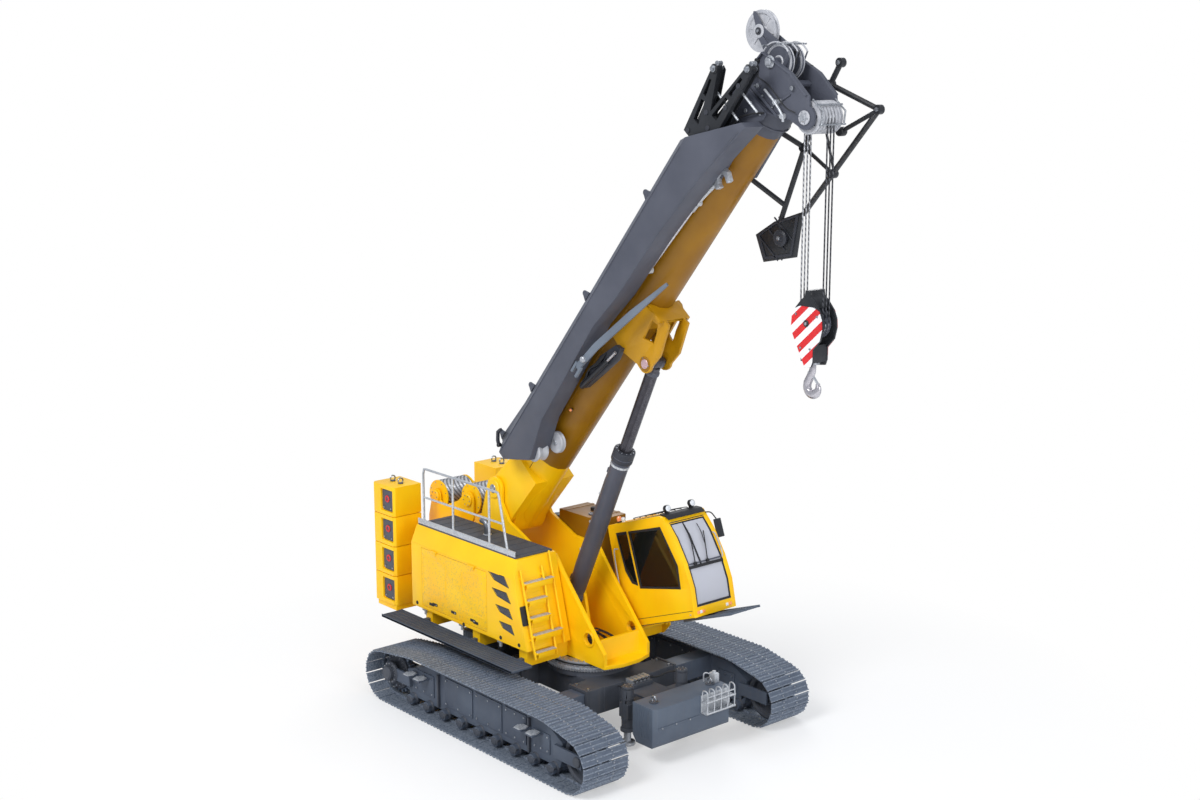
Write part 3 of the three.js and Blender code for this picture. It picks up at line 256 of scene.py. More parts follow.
def bolts(places, radius, height, axis="y", toward=1):  # hexagon heads standing on a face
    shape = bmesh.new()
    for place in places:
        low, high = sorted((0, toward * height))
        head = turned([(0, low), (radius, low), (radius, high), (0, high)], 6, axis, place)
        addShape(shape, head)
    return shape


def addShape(target, shape, place=None, finish=None):
    if place is not None:
        shape.transform(place)
    if finish is not None:
        for face in shape.faces:
            face.material_index = finish
    carrier = bpy.data.meshes.new("carrier")
    shape.to_mesh(carrier)
    target.from_mesh(carrier)
    bpy.data.meshes.remove(carrier)
    shape.free()


def rounded(shape, width, segments=2, sharp=28):  # breaks the sharp edges, as a press or grinder does
    bmesh.ops.remove_doubles(shape, verts=shape.verts, dist=2e-5)
    edges = [e for e in shape.edges if len(e.link_faces) == 2 and e.calc_face_angle(0) > math.radians(sharp)]
    bmesh.ops.bevel(shape, geom=edges, offset=width, segments=segments, profile=0.6,
                    affect="EDGES", clamp_overlap=True)
    return shape


def cadShape(node):  # a copy of a frame node, with flat faces made whole
    shape = bmesh.new()
    shape.from_mesh(frame["nodes"][node].data)
    bmesh.ops.remove_doubles(shape, verts=shape.verts, dist=2e-5)
    bmesh.ops.dissolve_limit(shape, angle_limit=math.radians(1), verts=shape.verts, edges=shape.edges)
    return shape


class Piece:  # one named piece that rides on one body
    def __init__(self, name, body, place=None):
        self.name = name
        self.body = body
        self.place = place or Matrix()
        self.shape = bmesh.new()
        self.finishes = []

    def add(self, shape, finish, edge=0.0, segments=2, place=None, sharp=28):
        if edge:
            rounded(shape, edge, segments, sharp)
        if finish not in self.finishes:
            self.finishes.append(finish)
        whole = self.place @ place if place is not None else self.place
        addShape(self.shape, shape, whole, self.finishes.index(finish))
        return self

    def done(self, *stoodFor, slot=None, smooth=33):
        mesh = bpy.data.meshes.new(self.name)
        self.shape.to_mesh(mesh)
        self.shape.free()
        for finish in self.finishes:
            mesh.materials.append(finish)
        mesh.shade_smooth()
        mesh.set_sharp_from_angle(angle=math.radians(smooth))
        piece = bpy.data.objects.new(self.name, mesh)
        bpy.context.scene.collection.objects.link(piece)
        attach(piece, self.body)
        if stoodFor:
            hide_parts(*stoodFor)
        return piece


# finishes

def linear(code):  # sRGB hex to the linear colour a shader takes
    parts = [int(code[i:i + 2], 16) / 255 for i in (1, 3, 5)]
    return tuple(c / 12.92 if c <= 0.04045 else ((c + 0.055) / 1.055) ** 2.4 for c in parts) + (1.0,)


def addNode(tree, kind, settings=None, inputs=None):
    node = tree.nodes.new("ShaderNode" + kind)
    for key, value in (settings or {}).items():
        setattr(node, key, value)
    for socket, value in (inputs or {}).items():
        if isinstance(value, bpy.types.NodeSocket):
            tree.links.new(value, node.inputs[socket])
        else:
            node.inputs[socket].default_value = value
    return node


def blendColours(tree, share, first, second, mode="MIX"):
    mixed = addNode(tree, "Mix", {"data_type": "RGBA", "blend_type": mode}, {0: share, 6: first, 7: second})
    return mixed.outputs[2]


def noiseAt(tree, place, sizeMm, detail=3.0, rough=0.5):
    return addNode(tree, "TexNoise", inputs={
        "Vector": place, "Scale": 1000 / sizeMm, "Detail": detail, "Roughness": rough}).outputs[0]


def spread(tree, value, low, high, toLow=0.0, toHigh=1.0):
    return addNode(tree, "MapRange", inputs={
        "Value": value, "From Min": low, "From Max": high, "To Min": toLow, "To Max": toHigh}).outputs[0]


def coated(name, make):  # a material whose one shader is filled in by make
    material = bpy.data.materials.new(name)
    material.use_nodes = True
    tree = material.node_tree
    tree.nodes.clear()
    place = addNode(tree, "TexCoord").outputs["Object"]
    shader = addNode(tree, "BsdfPrincipled")
    addNode(tree, "OutputMaterial", inputs={"Surface": shader.outputs[0]})
    make(tree, place, shader)
    return material


def setShader(tree, shader, **values):
    names = {"colour": "Base Color", "metal": "Metallic", "rough": "Roughness", "ior": "IOR",
             "coat": "Coat Weight", "coatRough": "Coat Roughness", "normal": "Normal",
             "glow": "Emission Color", "glowPower": "Emission Strength", "clear": "Transmission Weight",
             "sheen": "Sheen Weight", "aniso": "Anisotropic"}
    for key, value in values.items():
        socket = shader.inputs[names[key]]
        if isinstance(value, bpy.types.NodeSocket):
            tree.links.new(value, socket)
        else:
            socket.default_value = value


def bumpFrom(tree, height, depthMm, strength=1.0):
    return addNode(tree, "Bump", inputs={"Height": height, "Distance": depthMm / 1000,
                                         "Strength": strength}).outputs[0]


paintKinds = {
    # two-pack polyurethane enamel, sprayed on plate: even colour under a clear gloss, a faint orange peel
    "yellowEnamelSprayed": {"base": "#ffcb06", "shade": "#fec102", "rough": 0.4, "coat": 0.08, "dust": 0.06},
    # the same yellow enamel, painted darker amber as shade, for the boom, its trim and the tank housing
    "yellowEnamelPaintedShade": {"base": "#936602", "shade": "#845902", "rough": 0.42, "coat": 0.08, "dust": 0.08},
    # the same yellow enamel, painted a little darker as shade, for the lift bracket
    "yellowEnamelHalfShade": {"base": "#c08c04", "shade": "#b07e02", "rough": 0.42, "coat": 0.08, "dust": 0.08},
    # satin two-pack paint in graphite, with a blue cast
    "graphitePaintSatin": {"base": "#51545f", "shade": "#484b56", "rough": 0.46, "coat": 0.05, "dust": 0.1},
    "graphitePaintDark": {"base": "#35373f", "shade": "#2d2f36", "rough": 0.46, "coat": 0.05, "dust": 0.1},
    "barPaintSatin": {"base": "#6d7682", "shade": "#626b77", "rough": 0.44, "coat": 0.05, "dust": 0.08},
    # thick chassis paint, rolled and sprayed, dull and dusty
    "chassisPaintRolled": {"base": "#474b54", "shade": "#3d4149", "rough": 0.55, "coat": 0.05, "dust": 0.25},
    "trackPaintRolled": {"base": "#4f5866", "shade": "#444c5a", "rough": 0.55, "coat": 0.04, "dust": 0.2},
    "ballastPaintRolled": {"base": "#57616f", "shade": "#4d5664", "rough": 0.55, "coat": 0.04, "dust": 0.2},
    "blackPaintSatin": {"base": "#26282d", "shade": "#1d1f23", "rough": 0.4, "coat": 0.15, "dust": 0.12},
    # reflective warning sheet, cut and stuck on plate: even, slightly waxy
    "redSheetLaminated": {"base": "#d81e24", "shade": "#c9161d", "rough": 0.35, "coat": 0.3, "dust": 0.04},
    "whiteSheetLaminated": {"base": "#f1f0f2", "shade": "#e6e5e8", "rough": 0.35, "coat": 0.3, "dust": 0.04},
}


def sprayedPaint(name, kind):
    sizes = {"cloudMm": 700, "streakMm": 60, "grainMm": 5, "chipMm": 30, "peelMm": 7}

    def make(tree, place, shader):
        cloud = noiseAt(tree, place, sizes["cloudMm"], 4)
        tone = blendColours(tree, spread(tree, cloud, 0.35, 0.65), linear(kind["base"]),
            linear(kind["shade"]))
        long = addNode(tree, "Mapping", inputs={"Vector": place, "Scale": (1, 1, 0.12)}).outputs[0]
        streak = spread(tree, noiseAt(tree, long, sizes["streakMm"], 5), 0.52, 0.8, 0, kind["dust"] * 0.5)
        dirty = blendColours(tree, streak, tone, linear("#6e675c"))
        edge = addNode(tree, "NewGeometry").outputs["Pointiness"]
        chip = noiseAt(tree, place, sizes["chipMm"], 5, 0.65)
        worn = addNode(tree, "Math", {"operation": "MULTIPLY"}, {
            0: spread(tree, edge, 0.56, 0.7), 1: spread(tree, chip, 0.52, 0.62, 0, 0.3)}).outputs[0]
        colour = blendColours(tree, worn, dirty, linear("#8a8072"))
        grain = noiseAt(tree, place, sizes["grainMm"], 3)
        rough = spread(tree, grain, 0.3, 0.7, kind["rough"] - 0.05, kind["rough"] + 0.08)
        peel = noiseAt(tree, place, sizes["peelMm"], 2)  # orange peel, drawn coarser than the real 2 mm
        setShader(tree, shader, colour=colour, rough=rough, ior=1.4, coat=kind["coat"], coatRough=0.2,
                  normal=bumpFrom(tree, peel, 0.12))

    return coated(name, make)


paints = {name: sprayedPaint(name, kind) for name, kind in paintKinds.items()}
yellow = paints["yellowEnamelSprayed"]
yellowPaintedShade = paints["yellowEnamelPaintedShade"]
yellowHalfShade = paints["yellowEnamelHalfShade"]
graphite = paints["graphitePaintSatin"]
graphiteDark = paints["graphitePaintDark"]
barGrey = paints["barPaintSatin"]
chassis = paints["chassisPaintRolled"]
trackPaint = paints["trackPaintRolled"]
ballastGrey = paints["ballastPaintRolled"]
black = paints["blackPaintSatin"]
signalRed = paints["redSheetLaminated"]
signWhite = paints["whiteSheetLaminated"]

metalKinds = {
    # forged manganese steel, rolled on the ground: dull with a bright rub along the ribs
    "shoeSteelForged": {"base": "#66707f", "shade": "#566070", "metal": 0.3, "rough": 0.48,
        "bright": "#8d96a3"},
    # turned and oiled steel: fine tool marks, soft gloss
    "steelTurnedOiled": {"base": "#8f9399", "shade": "#797d84", "metal": 0.9, "rough": 0.34,
        "bright": "#b9bcc1"},
    "steelMilled": {"base": "#a9acb2", "shade": "#969aa1", "metal": 0.7, "rough": 0.36,
        "bright": "#c6c9ce"},
    # hard chrome: on the lift rod painted dark as shade, and bright on the small rods and the hook
    "chromeGroundPaintedShade": {"base": "#454349", "shade": "#3a383e", "metal": 0.6, "rough": 0.28,
        "bright": "#65646a"},
    "chromeGroundBright": {"base": "#b9b6bb", "shade": "#a7a4aa", "metal": 0.7, "rough": 0.2,
        "bright": "#d5d3d7"},
    "pinSteelGround": {"base": "#c9a3a8", "shade": "#b7939a", "metal": 0.4, "rough": 0.35,
        "bright": "#dcc0c4"},
    # hot-dip galvanised tube and sheet: grey spangle
    "galvanisedSteelDipped": {"base": "#b7bac0", "shade": "#a3a7ae", "metal": 0.5, "rough": 0.4,
        "bright": "#cfd2d5"},
}


def bareMetal(name, kind):
    sizes = {"cloudMm": 160, "markMm": 4, "edgeMm": 25}

    def make(tree, place, shader):
        cloud = noiseAt(tree, place, sizes["cloudMm"], 5, 0.6)
        tone = blendColours(tree, spread(tree, cloud, 0.35, 0.65), linear(kind["base"]),
            linear(kind["shade"]))
        edge = addNode(tree, "NewGeometry").outputs["Pointiness"]
        rub = addNode(tree, "Math", {"operation": "MULTIPLY"}, {
            0: spread(tree, edge, 0.52, 0.58),
            1: spread(tree, noiseAt(tree, place, sizes["edgeMm"], 4), 0.35, 0.6)}).outputs[0]
        colour = blendColours(tree, rub, tone, linear(kind["bright"]))
        marks = noiseAt(tree, place, sizes["markMm"], 3)
        rough = spread(tree, marks, 0.3, 0.7, kind["rough"] - 0.06, kind["rough"] + 0.1)
        setShader(tree, shader, colour=colour, metal=kind["metal"], rough=rough,
                  normal=bumpFrom(tree, marks, 0.1))

    return coated(name, make)


metals = {name: bareMetal(name, kind) for name, kind in metalKinds.items()}
shoeSteel = metals["shoeSteelForged"]
steel = metals["steelTurnedOiled"]
machined = metals["steelMilled"]
chromeShaded = metals["chromeGroundPaintedShade"]
chromeBright = metals["chromeGroundBright"]
pinkSteel = metals["pinSteelGround"]
galvanised = metals["galvanisedSteelDipped"]


def sheaveNylon():  # cast polyamide: pale grey, waxy, turned grooves
    def make(tree, place, shader):
        cloud = noiseAt(tree, place, 120, 4)
        colour = blendColours(tree, spread(tree, cloud, 0.35, 0.65), linear("#b9babf"), linear("#a4a6ac"))
        marks = noiseAt(tree, place, 6, 3)
        setShader(tree, shader, colour=colour, rough=spread(tree, marks, 0.3, 0.7, 0.34, 0.5), ior=1.53,
                  normal=bumpFrom(tree, marks, 0.15))
    return coated("polyamideCast", make)


def tintedPane(name, tint, clear):  # laminated float glass with a body colour: a dark tint, or a pale colour that is painted reflection
    def make(tree, place, shader):
        film = spread(tree, noiseAt(tree, place, 180, 4), 0.4, 0.7, 0.02, 0.08)
        setShader(tree, shader, colour=linear(tint), rough=film, ior=1.52, clear=clear)
    return coated(name, make)


def sealRubber():  # extruded EPDM and hose cover: matt black
    def make(tree, place, shader):
        cloud = noiseAt(tree, place, 60, 4)
        colour = blendColours(tree, cloud, linear("#16171a"), linear("#242529"))
        setShader(tree, shader, colour=colour, rough=spread(tree, cloud, 0.3, 0.7, 0.55, 0.75), ior=1.5,
                  normal=bumpFrom(tree, noiseAt(tree, place, 4, 2), 0.2))
    return coated("rubberExtruded", make)


def gripPlate():  # gritted walkway plate: mineral grit in paint
    def make(tree, place, shader):
        grit = noiseAt(tree, place, 9, 3, 0.7)
        colour = blendColours(tree, spread(tree, grit, 0.35, 0.7), linear("#3a3d44"), linear("#5c6069"))
        setShader(tree, shader, colour=colour, rough=0.8, ior=1.5, normal=bumpFrom(tree, grit, 2.0))
    return coated("gritPaintRolled", make)


def seatCloth():  # woven polyester seat cloth, 4 mm ribs
    def make(tree, place, shader):
        weave = addNode(tree, "TexWave", {"wave_type": "BANDS", "bands_direction": "Y"}, {
            "Vector": place, "Scale": 1000 / 8 / 6.283, "Distortion": 1.0, "Detail": 2.0}).outputs["Fac"]
        colour = blendColours(tree, weave, linear("#1f2024"), linear("#2f3138"))
        setShader(tree, shader, colour=colour, rough=0.9, ior=1.5, sheen=0.3,
                  normal=bumpFrom(tree, weave, 0.8))
    return coated("polyesterWoven", make)


def lampLens(name, shade):  # moulded polycarbonate lens: clear tint over a bright reflector
    def make(tree, place, shader):
        ribs = noiseAt(tree, place, 12, 1)
        colour = blendColours(tree, spread(tree, ribs, 0.3, 0.7, 0.0, 0.25), linear(shade),
            linear("#ffffff"))
        setShader(tree, shader, colour=colour, rough=spread(tree, ribs, 0.3, 0.7, 0.12, 0.22), ior=1.58,
                  normal=bumpFrom(tree, ribs, 0.4))
    return coated(name, make)


def woundWire(name, low, high):  # drawn steel wire laid into rope: bright crowns, greasy valleys
    def make(tree, place, shader):
        lay = addNode(tree, "TexWave", {"wave_type": "BANDS", "bands_direction": "DIAGONAL"}, {
            "Vector": place, "Scale": 1000 / 20 / 6.283, "Distortion": 0.6, "Detail": 1.0}).outputs["Fac"]
        colour = blendColours(tree, lay, linear(low), linear(high))
        setShader(tree, shader, colour=colour, metal=0.8, rough=spread(tree, lay, 0.0, 1.0, 0.5, 0.36),
                  normal=bumpFrom(tree, lay, 0.6))
    return coated(name, make)


def displayGlass():  # the dark front of a screen: hard, smooth, faintly blue
    def make(tree, place, shader):
        film = noiseAt(tree, place, 60, 3)
        colour = blendColours(tree, film, linear("#1c2128"), linear("#2b323c"))
        setShader(tree, shader, colour=colour, rough=spread(tree, film, 0.3, 0.7, 0.1, 0.2), ior=1.5,
            coat=0.3)
    return coated("displayGlassCoated", make)


nylon = sheaveNylon()
darkGlass = tintedPane("safetyGlassTinted", "#131615", 0.16)
# clear glass that lets part of the light through; its pale bluish body colour is painted reflection
paleGlassPaintedReflection = tintedPane("safetyGlassPaintedReflection", "#e6e8f2", 0.45)
rubber = sealRubber()
grit = gripPlate()
cloth = seatCloth()
lampAmber = lampLens("amberLensMoulded", "#ff8a1e")
lampClear = lampLens("clearLensMoulded", "#dfe3e8")
wireRope = woundWire("wireRopeDrawn", "#6d6e72", "#b9babe")
# a dark copy of the same wire rope: painted shade
shadedRope = woundWire("wireRopeShaded", "#2b2c30", "#5a5b60")
screenGrey = displayGlass()
print("finishes made")


# camera, lights and floor

def lookFrom():
    settings = {
        "place": (20.7967, -18.0574, 11.2717),
        "yaw": 139.354,
        "pitch": -11.722,
        "lens": 51.4256,
        "sensor": 36.0,
    }
    camera = bpy.data.cameras.new("camera")
    camera.lens, camera.sensor_width = settings["lens"], settings["sensor"]
    camera.clip_end = 400
    viewer = bpy.data.objects.new("camera", camera)
    bpy.context.scene.collection.objects.link(viewer)
    yaw, pitch = math.radians(settings["yaw"]), math.radians(settings["pitch"])
    viewer.location = settings["place"]
    viewer.rotation_euler = (math.pi / 2 + pitch, 0, yaw - math.pi / 2)
    bpy.context.scene.camera = viewer


def softLights():
    lamps = {
        "key": {"place": (4, -24, 26), "size": 14, "power": 5900},
        "front": {"place": (26, -4, 12), "size": 12, "power": 2300},
        "back": {"place": (-16, 18, 18), "size": 12, "power": 1500},
    }
    aim = Vector((0, 0, 3))
    for name, lamp in lamps.items():
        light = bpy.data.lights.new(name, "AREA")
        light.shape, light.size, light.energy = "DISK", lamp["size"], lamp["power"]
        holder = bpy.data.objects.new(name, light)
        bpy.context.scene.collection.objects.link(holder)
        holder.location = lamp["place"]
        holder.rotation_euler = (aim - holder.location).to_track_quat("-Z", "Y").to_euler()


def seenPlainly(tree):  # 1 for what the camera sees, straight or through glass
    path = addNode(tree, "LightPath")
    return addNode(tree, "Math", {"operation": "MAXIMUM"}, {
        0: path.outputs["Is Camera Ray"], 1: path.outputs["Is Transmission Ray"]}).outputs[0]


def paleRoom():  # white to the camera, plain light on the object
    size = {"floorHalf": 60, "fadeFrom": 3.5, "fadeTo": 9.5, "leastWhite": 0.4, "worldPower": 0.7}
    world = bpy.data.worlds.new("studio")
    bpy.context.scene.world = world
    world.use_nodes = True
    tree = world.node_tree
    tree.nodes.clear()
    dim = addNode(tree, "Background", inputs={"Color": linear("#e9eef6"), "Strength": size["worldPower"]})
    white = addNode(tree, "Background", inputs={"Color": (1, 1, 1, 1), "Strength": 1.0})
    both = addNode(tree, "MixShader", inputs={0: seenPlainly(tree), 1: dim.outputs[0], 2: white.outputs[0]})
    addNode(tree, "OutputWorld", inputs={"Surface": both.outputs[0]})

    # the floor keeps the shadow under the machine and turns into the white backdrop further out
    paint = bpy.data.materials.new("studioFloorPainted")
    paint.use_nodes = True
    tree = paint.node_tree
    tree.nodes.clear()
    place = addNode(tree, "TexCoord").outputs["Object"]
    cloud = noiseAt(tree, place, 4000, 3)
    colour = blendColours(tree, cloud, linear("#f7f7f7"), linear("#f3f3f3"))
    matt = addNode(tree, "BsdfPrincipled")
    setShader(tree, matt, colour=colour, rough=0.9, ior=1.3)
    glow = addNode(tree, "Emission", inputs={"Color": (1, 1, 1, 1), "Strength": 1.0})
    away = addNode(tree, "VectorMath", {"operation": "LENGTH"}, {0: place}).outputs["Value"]
    fade = spread(tree, away, size["fadeFrom"], size["fadeTo"], size["leastWhite"], 1.0)
    share = addNode(tree, "Math", {"operation": "MULTIPLY"}, {0: fade, 1: seenPlainly(tree)}).outputs[0]
    mixed = addNode(tree, "MixShader", inputs={0: share, 1: matt.outputs[0], 2: glow.outputs[0]})
    addNode(tree, "OutputMaterial", inputs={"Surface": mixed.outputs[0]})
    half = size["floorHalf"]
    floor = bpy.data.meshes.new("floor")
    floor.from_pydata([(-half, -half, 0), (half, -half, 0), (half, half, 0), (-half, half, 0)], [],
        [(0, 1, 2, 3)])
    floor.materials.append(paint)
    ground = bpy.data.objects.new("floor", floor)
    bpy.context.scene.collection.objects.link(ground)
    bpy.context.scene.view_settings.view_transform = "Standard"


lookFrom()
softLights()
paleRoom()
print("camera and lights set")


# tracks

trackMiddle = 2.042  # from the machine's middle to a track's middle


def trackLoop(inset, steps=24):  # the shoe loop seen from the side, shrunk by inset
    size = {"front": 2.35, "rear": -2.75, "end": 0.465, "top": 1.062, "crownFront": 1.75, "crownRear": -1.8}
    radius, top = size["end"] - inset, size["top"] - inset

    def touch(centre, crown):  # where the slanted run meets the end wheel
        dx, dz = crown - centre, top - size["end"]
        turn = math.acos(radius / math.hypot(dx, dz))
        return math.degrees(math.atan2(dz, dx) + (-turn if dx < 0 else turn))

    front = arcPoints((size["front"], size["end"]), radius, -90, touch(size["front"], size["crownFront"]),
        steps)
    rear = arcPoints((size["rear"], size["end"]), radius, touch(size["rear"], size["crownRear"]), 270,
        steps)
    return front + [(size["crownFront"], top), (size["crownRear"], top)] + rear


def evenPoints(loop, count):  # places at an even pitch round a closed loop
    corners = [Vector(p) for p in loop] + [Vector(loop[0])]
    lengths = [(b - a).length for a, b in zip(corners, corners[1:])]
    pitch = sum(lengths) / count
    points, walked, i = [], 0.0, 0
    for k in range(count):
        while walked + lengths[i] < k * pitch:
            walked += lengths[i]
            i += 1
        points.append(corners[i].lerp(corners[i + 1], (k * pitch - walked) / lengths[i]))
    return points


def trackShoes(side, sign):
    size = {
        "count": 70, "width": 0.9, "pinInset": 0.052, "plateTop": 0.03, "plateLow": 0.016, "tip": 0.05,
        "gap": 0.004, "ribHalf": 0.008, "ribFoot": 0.016, "boltRadius": 0.014, "boltRise": 0.01,
        "linkNear": 0.075, "linkFar": 0.118, "linkLow": -0.012,
    }
    middle = sign * trackMiddle
    pins = evenPoints(trackLoop(size["pinInset"]), size["count"])
    piece = Piece("track_shoes_" + side + ".grousers", bodyOf["track_shoes_" + side])
    for i, pin in enumerate(pins):
        ahead = pins[(i + 1) % len(pins)] - pin
        half = ahead.length / 2 - size["gap"]
        ribs = [-half + size["ribHalf"], 0.0, half - size["ribHalf"]]
        outline = [(-half, size["plateLow"]), (half, size["plateLow"])]
        for rib in reversed(ribs):  # three ribs across each shoe
            outline += [(min(rib + size["ribFoot"], half), size["plateTop"]),
                (rib + size["ribHalf"] * 0.6, size["tip"]), (rib - size["ribHalf"] * 0.6, size["tip"]),
                (max(rib - size["ribFoot"], -half), size["plateTop"])]
        lean = math.atan2(ahead.y, ahead.x)
        spot = pin + ahead / 2
        # the loop runs forward along the ground, so the shoe is turned over to face outwards
        place = (slewFrame @ Matrix.Translation((spot.x, middle, spot.y)) @ Matrix.Rotation(-lean, 4, "Y")
                 @ Matrix.Rotation(math.pi, 4, "X"))
        piece.add(prism(outline, -size["width"] / 2, size["width"] / 2), shoeSteel, place=place,
            edge=0.0025, segments=1)
        for y in (-1, 1):
            near, far = sorted((y * size["linkNear"], y * size["linkFar"]))
            link = [(-half - 0.02, size["linkLow"]), (half, size["linkLow"]), (half, size["plateLow"]),
                    (-half - 0.02, size["plateLow"])]
            piece.add(prism(link, near, far), shoeSteel, place=place)
            spots = [(x, y * 0.16, size["plateTop"]) for x in (-half / 2, half / 2)]
            piece.add(bolts(spots, size["boltRadius"], size["boltRise"], "z"), steel, place=place)
    piece.done("track_shoes_" + side, slot="track_steel")


def trackWheels(side, sign):
    size = {"teeth": 21, "axle": 0.0603, "endRadius": 0.465}
    middle = sign * trackMiddle
    for name, x in (("drive_sprocket_", -2.75), ("track_idler_", 2.35)):
        at = (x, middle, size["endRadius"])
        wheel = Piece(name + side + ".turned", bodyOf[name + side], slewFrame)
        if name == "drive_sprocket_":
            outline = []
            for i in range(size["teeth"]):  # rounded tooth, then a wide root for the chain bush
                for share, radius in ((0.0, 0.352), (0.22, 0.352), (0.36, 0.395), (0.5, 0.405),
                    (0.64, 0.395), (0.78, 0.352)):
                    angle = 2 * math.pi * (i + share) / size["teeth"]
                    outline.append((x + radius * math.cos(angle),
                        size["endRadius"] + radius * math.sin(angle)))
            wheel.add(prism(outline, middle - 0.045, middle + 0.045), shoeSteel, 0.004)
            wheel.add(ring(size["axle"], 0.33, -0.09, 0.09, "y", at, 40, 0.012), chassis)
            for face in (-1, 1):
                spots = [(x + 0.27 * math.cos(a), middle + face * 0.09,
                    size["endRadius"] + 0.27 * math.sin(a)) for a in (2 * math.pi * i / 16
                    for i in range(16))]
                wheel.add(bolts(spots, 0.016, 0.014, "y", face), steel)
        else:
            wheel.add(turned([(size["axle"], -0.12), (0.12, -0.14), (0.16, -0.075), (0.3, -0.06),
                (0.325, -0.12), (0.37, -0.135), (0.398, -0.125), (0.398, -0.07), (0.405, -0.062),
                (0.405, 0.062), (0.398, 0.07), (0.398, 0.125), (0.37, 0.135), (0.325, 0.12), (0.3, 0.06),
                (0.16, 0.075), (0.12, 0.14), (size["axle"], 0.12)], 56, "y", at), chassis)
        wheel.done(name + side, slot="bright_steel")


def trackFrameTrim(side, sign):
    size = {"rollers": 9, "rollerZ": 0.1543, "rollerRadius": 0.0935, "flange": 0.106, "bolt": 0.015}
    middle = sign * trackMiddle
    trim = Piece("track_frame_" + side + ".trim", bodyOf["track_frame_" + side], slewFrame)
    for i in range(size["rollers"]):
        at = (-2.13 + 0.4825 * i, middle, size["rollerZ"])
        r, f = size["rollerRadius"], size["flange"]
        trim.add(turned([(0, -0.262), (0.05, -0.262), (0.062, -0.25), (0.07, -0.2), (0.085, -0.19),
            (r, -0.17), (f, -0.155), (f, -0.135), (r, -0.125), (r, -0.06), (0.08, -0.05), (0.08, 0.05),
            (r, 0.06), (r, 0.125), (f, 0.135), (f, 0.155), (r, 0.17), (0.085, 0.19), (0.07, 0.2),
            (0.062, 0.25), (0.05, 0.262), (0, 0.262)], 32, "y", at), chassis)
        face = middle + sign * 0.1505  # bearing bracket bolted under the beam
        low, high = sorted((face, face + sign * 0.05))
        saddle = [(at[0] - 0.11, 0.2), (at[0] - 0.075, 0.115), (at[0] + 0.075, 0.115), (at[0] + 0.11, 0.2)]
        trim.add(prism(saddle, low + sign * 0.055, high + sign * 0.055), chassis, 0.006)
    for x in (-1.4, 0, 1.3):  # carrier rollers with their caps
        trim.add(turned([(0, -0.13), (0.05, -0.13), (0.072, -0.12), (0.072, 0.12), (0.05, 0.13), (0, 0.13)],
                        28, "y", (x, middle, 0.9297)), chassis)
    # bolted covers along the beam, parted by dark gaps where the cross beams come through
    for x0, x1, low, high in ((-2.08, -1.52, 0.33, 0.72), (-1.2, -0.42, 0.3, 0.8), (-0.34, 0.38, 0.3, 0.8),
                              (0.46, 1.02, 0.3, 0.8), (1.2, 1.62, 0.33, 0.66)):
        for face in (-1, 1):
            near, far = sorted((middle + face * 0.1502, middle + face * 0.168))
            trim.add(prism([(x0, low), (x1, low), (x1, high), (x0, high)], near, far), trackPaint, 0.006)
            spots = [(x, middle + face * 0.168, z) for x in (x0 + 0.05, (x0 + x1) / 2, x1 - 0.05)
                for z in (low + 0.05, high - 0.05)]
            trim.add(bolts(spots, size["bolt"], 0.012, "y", face), steel)
    for x in (-1.37, 1.11):  # gusset ribs beside the covers
        near, far = sorted((middle + sign * 0.1502, middle + sign * 0.2))
        trim.add(prism([(x - 0.02, 0.22), (x + 0.02, 0.22), (x + 0.02, 0.8), (x - 0.02, 0.8)], near, far),
            chassis, 0.005)
    low, high = sorted((middle + sign * 0.16, middle + sign * 0.24))
    trim.add(disc(0.2, low, high, "y", (-2.75, 0, 0.465), 48, 0.02), chassis)  # travel motor
    low, high = sorted((middle + sign * 0.215, middle + sign * 0.33))
    trim.add(disc(0.13, low, high, "y", (-2.75, 0, 0.465), 40, 0.025), chassis)
    spots = [(-2.75 + 0.165 * math.cos(a), middle + sign * 0.24, 0.465 + 0.165 * math.sin(a))
             for a in (2 * math.pi * i / 12 for i in range(12))]
    trim.add(bolts(spots, 0.014, 0.012, "y", sign), steel)
    low, high = sorted((middle + sign * 0.2, middle + sign * 0.25))
    trim.add(disc(0.085, low, high, "y", (2.35, 0, 0.465), 36, 0.012), chassis)  # idler axle cap
    for x in (-2.05, -1.75, 1.05, 1.35):  # toothed steps on their brackets
        y0, y1 = middle + sign * 0.19, middle + sign * 0.385
        tread = [(x - 0.07, y0), (x + 0.07, y0), (x + 0.11, (y0 + y1) / 2), (x + 0.07, y1), (x - 0.07, y1),
                 (x - 0.11, (y0 + y1) / 2)]
        trim.add(prism(tread if sign > 0 else tread[::-1], 0.6503, 0.662, "xy"), galvanised, 0.002)
        for k in range(5):
            y = y0 + (y1 - y0) * (k + 0.5) / 5
            wide = 0.1 - 0.04 * abs(k - 2) / 2
            teeth = [(x - wide + wide * 2 * j / 12, 0.661 + 0.014 * (j % 2)) for j in range(13)]
            trim.add(prism([(x - wide, 0.659)] + teeth + [(x + wide, 0.659)], y - 0.005, y + 0.005),
                galvanised)
    trim.done(slot="dark_grey_paint")


def tracks():
    for side, sign in (("right", -1), ("left", 1)):
        trackShoes(side, sign)
        trackWheels(side, sign)
        trackFrameTrim(side, sign)


# undercarriage

def aroundZ(radius, count, z, centre=(0, 0), turn=0.0):
    angles = [2 * math.pi * i / count + turn for i in range(count)]
    return [(centre[0] + radius * math.cos(a), centre[1] + radius * math.sin(a), z) for a in angles]


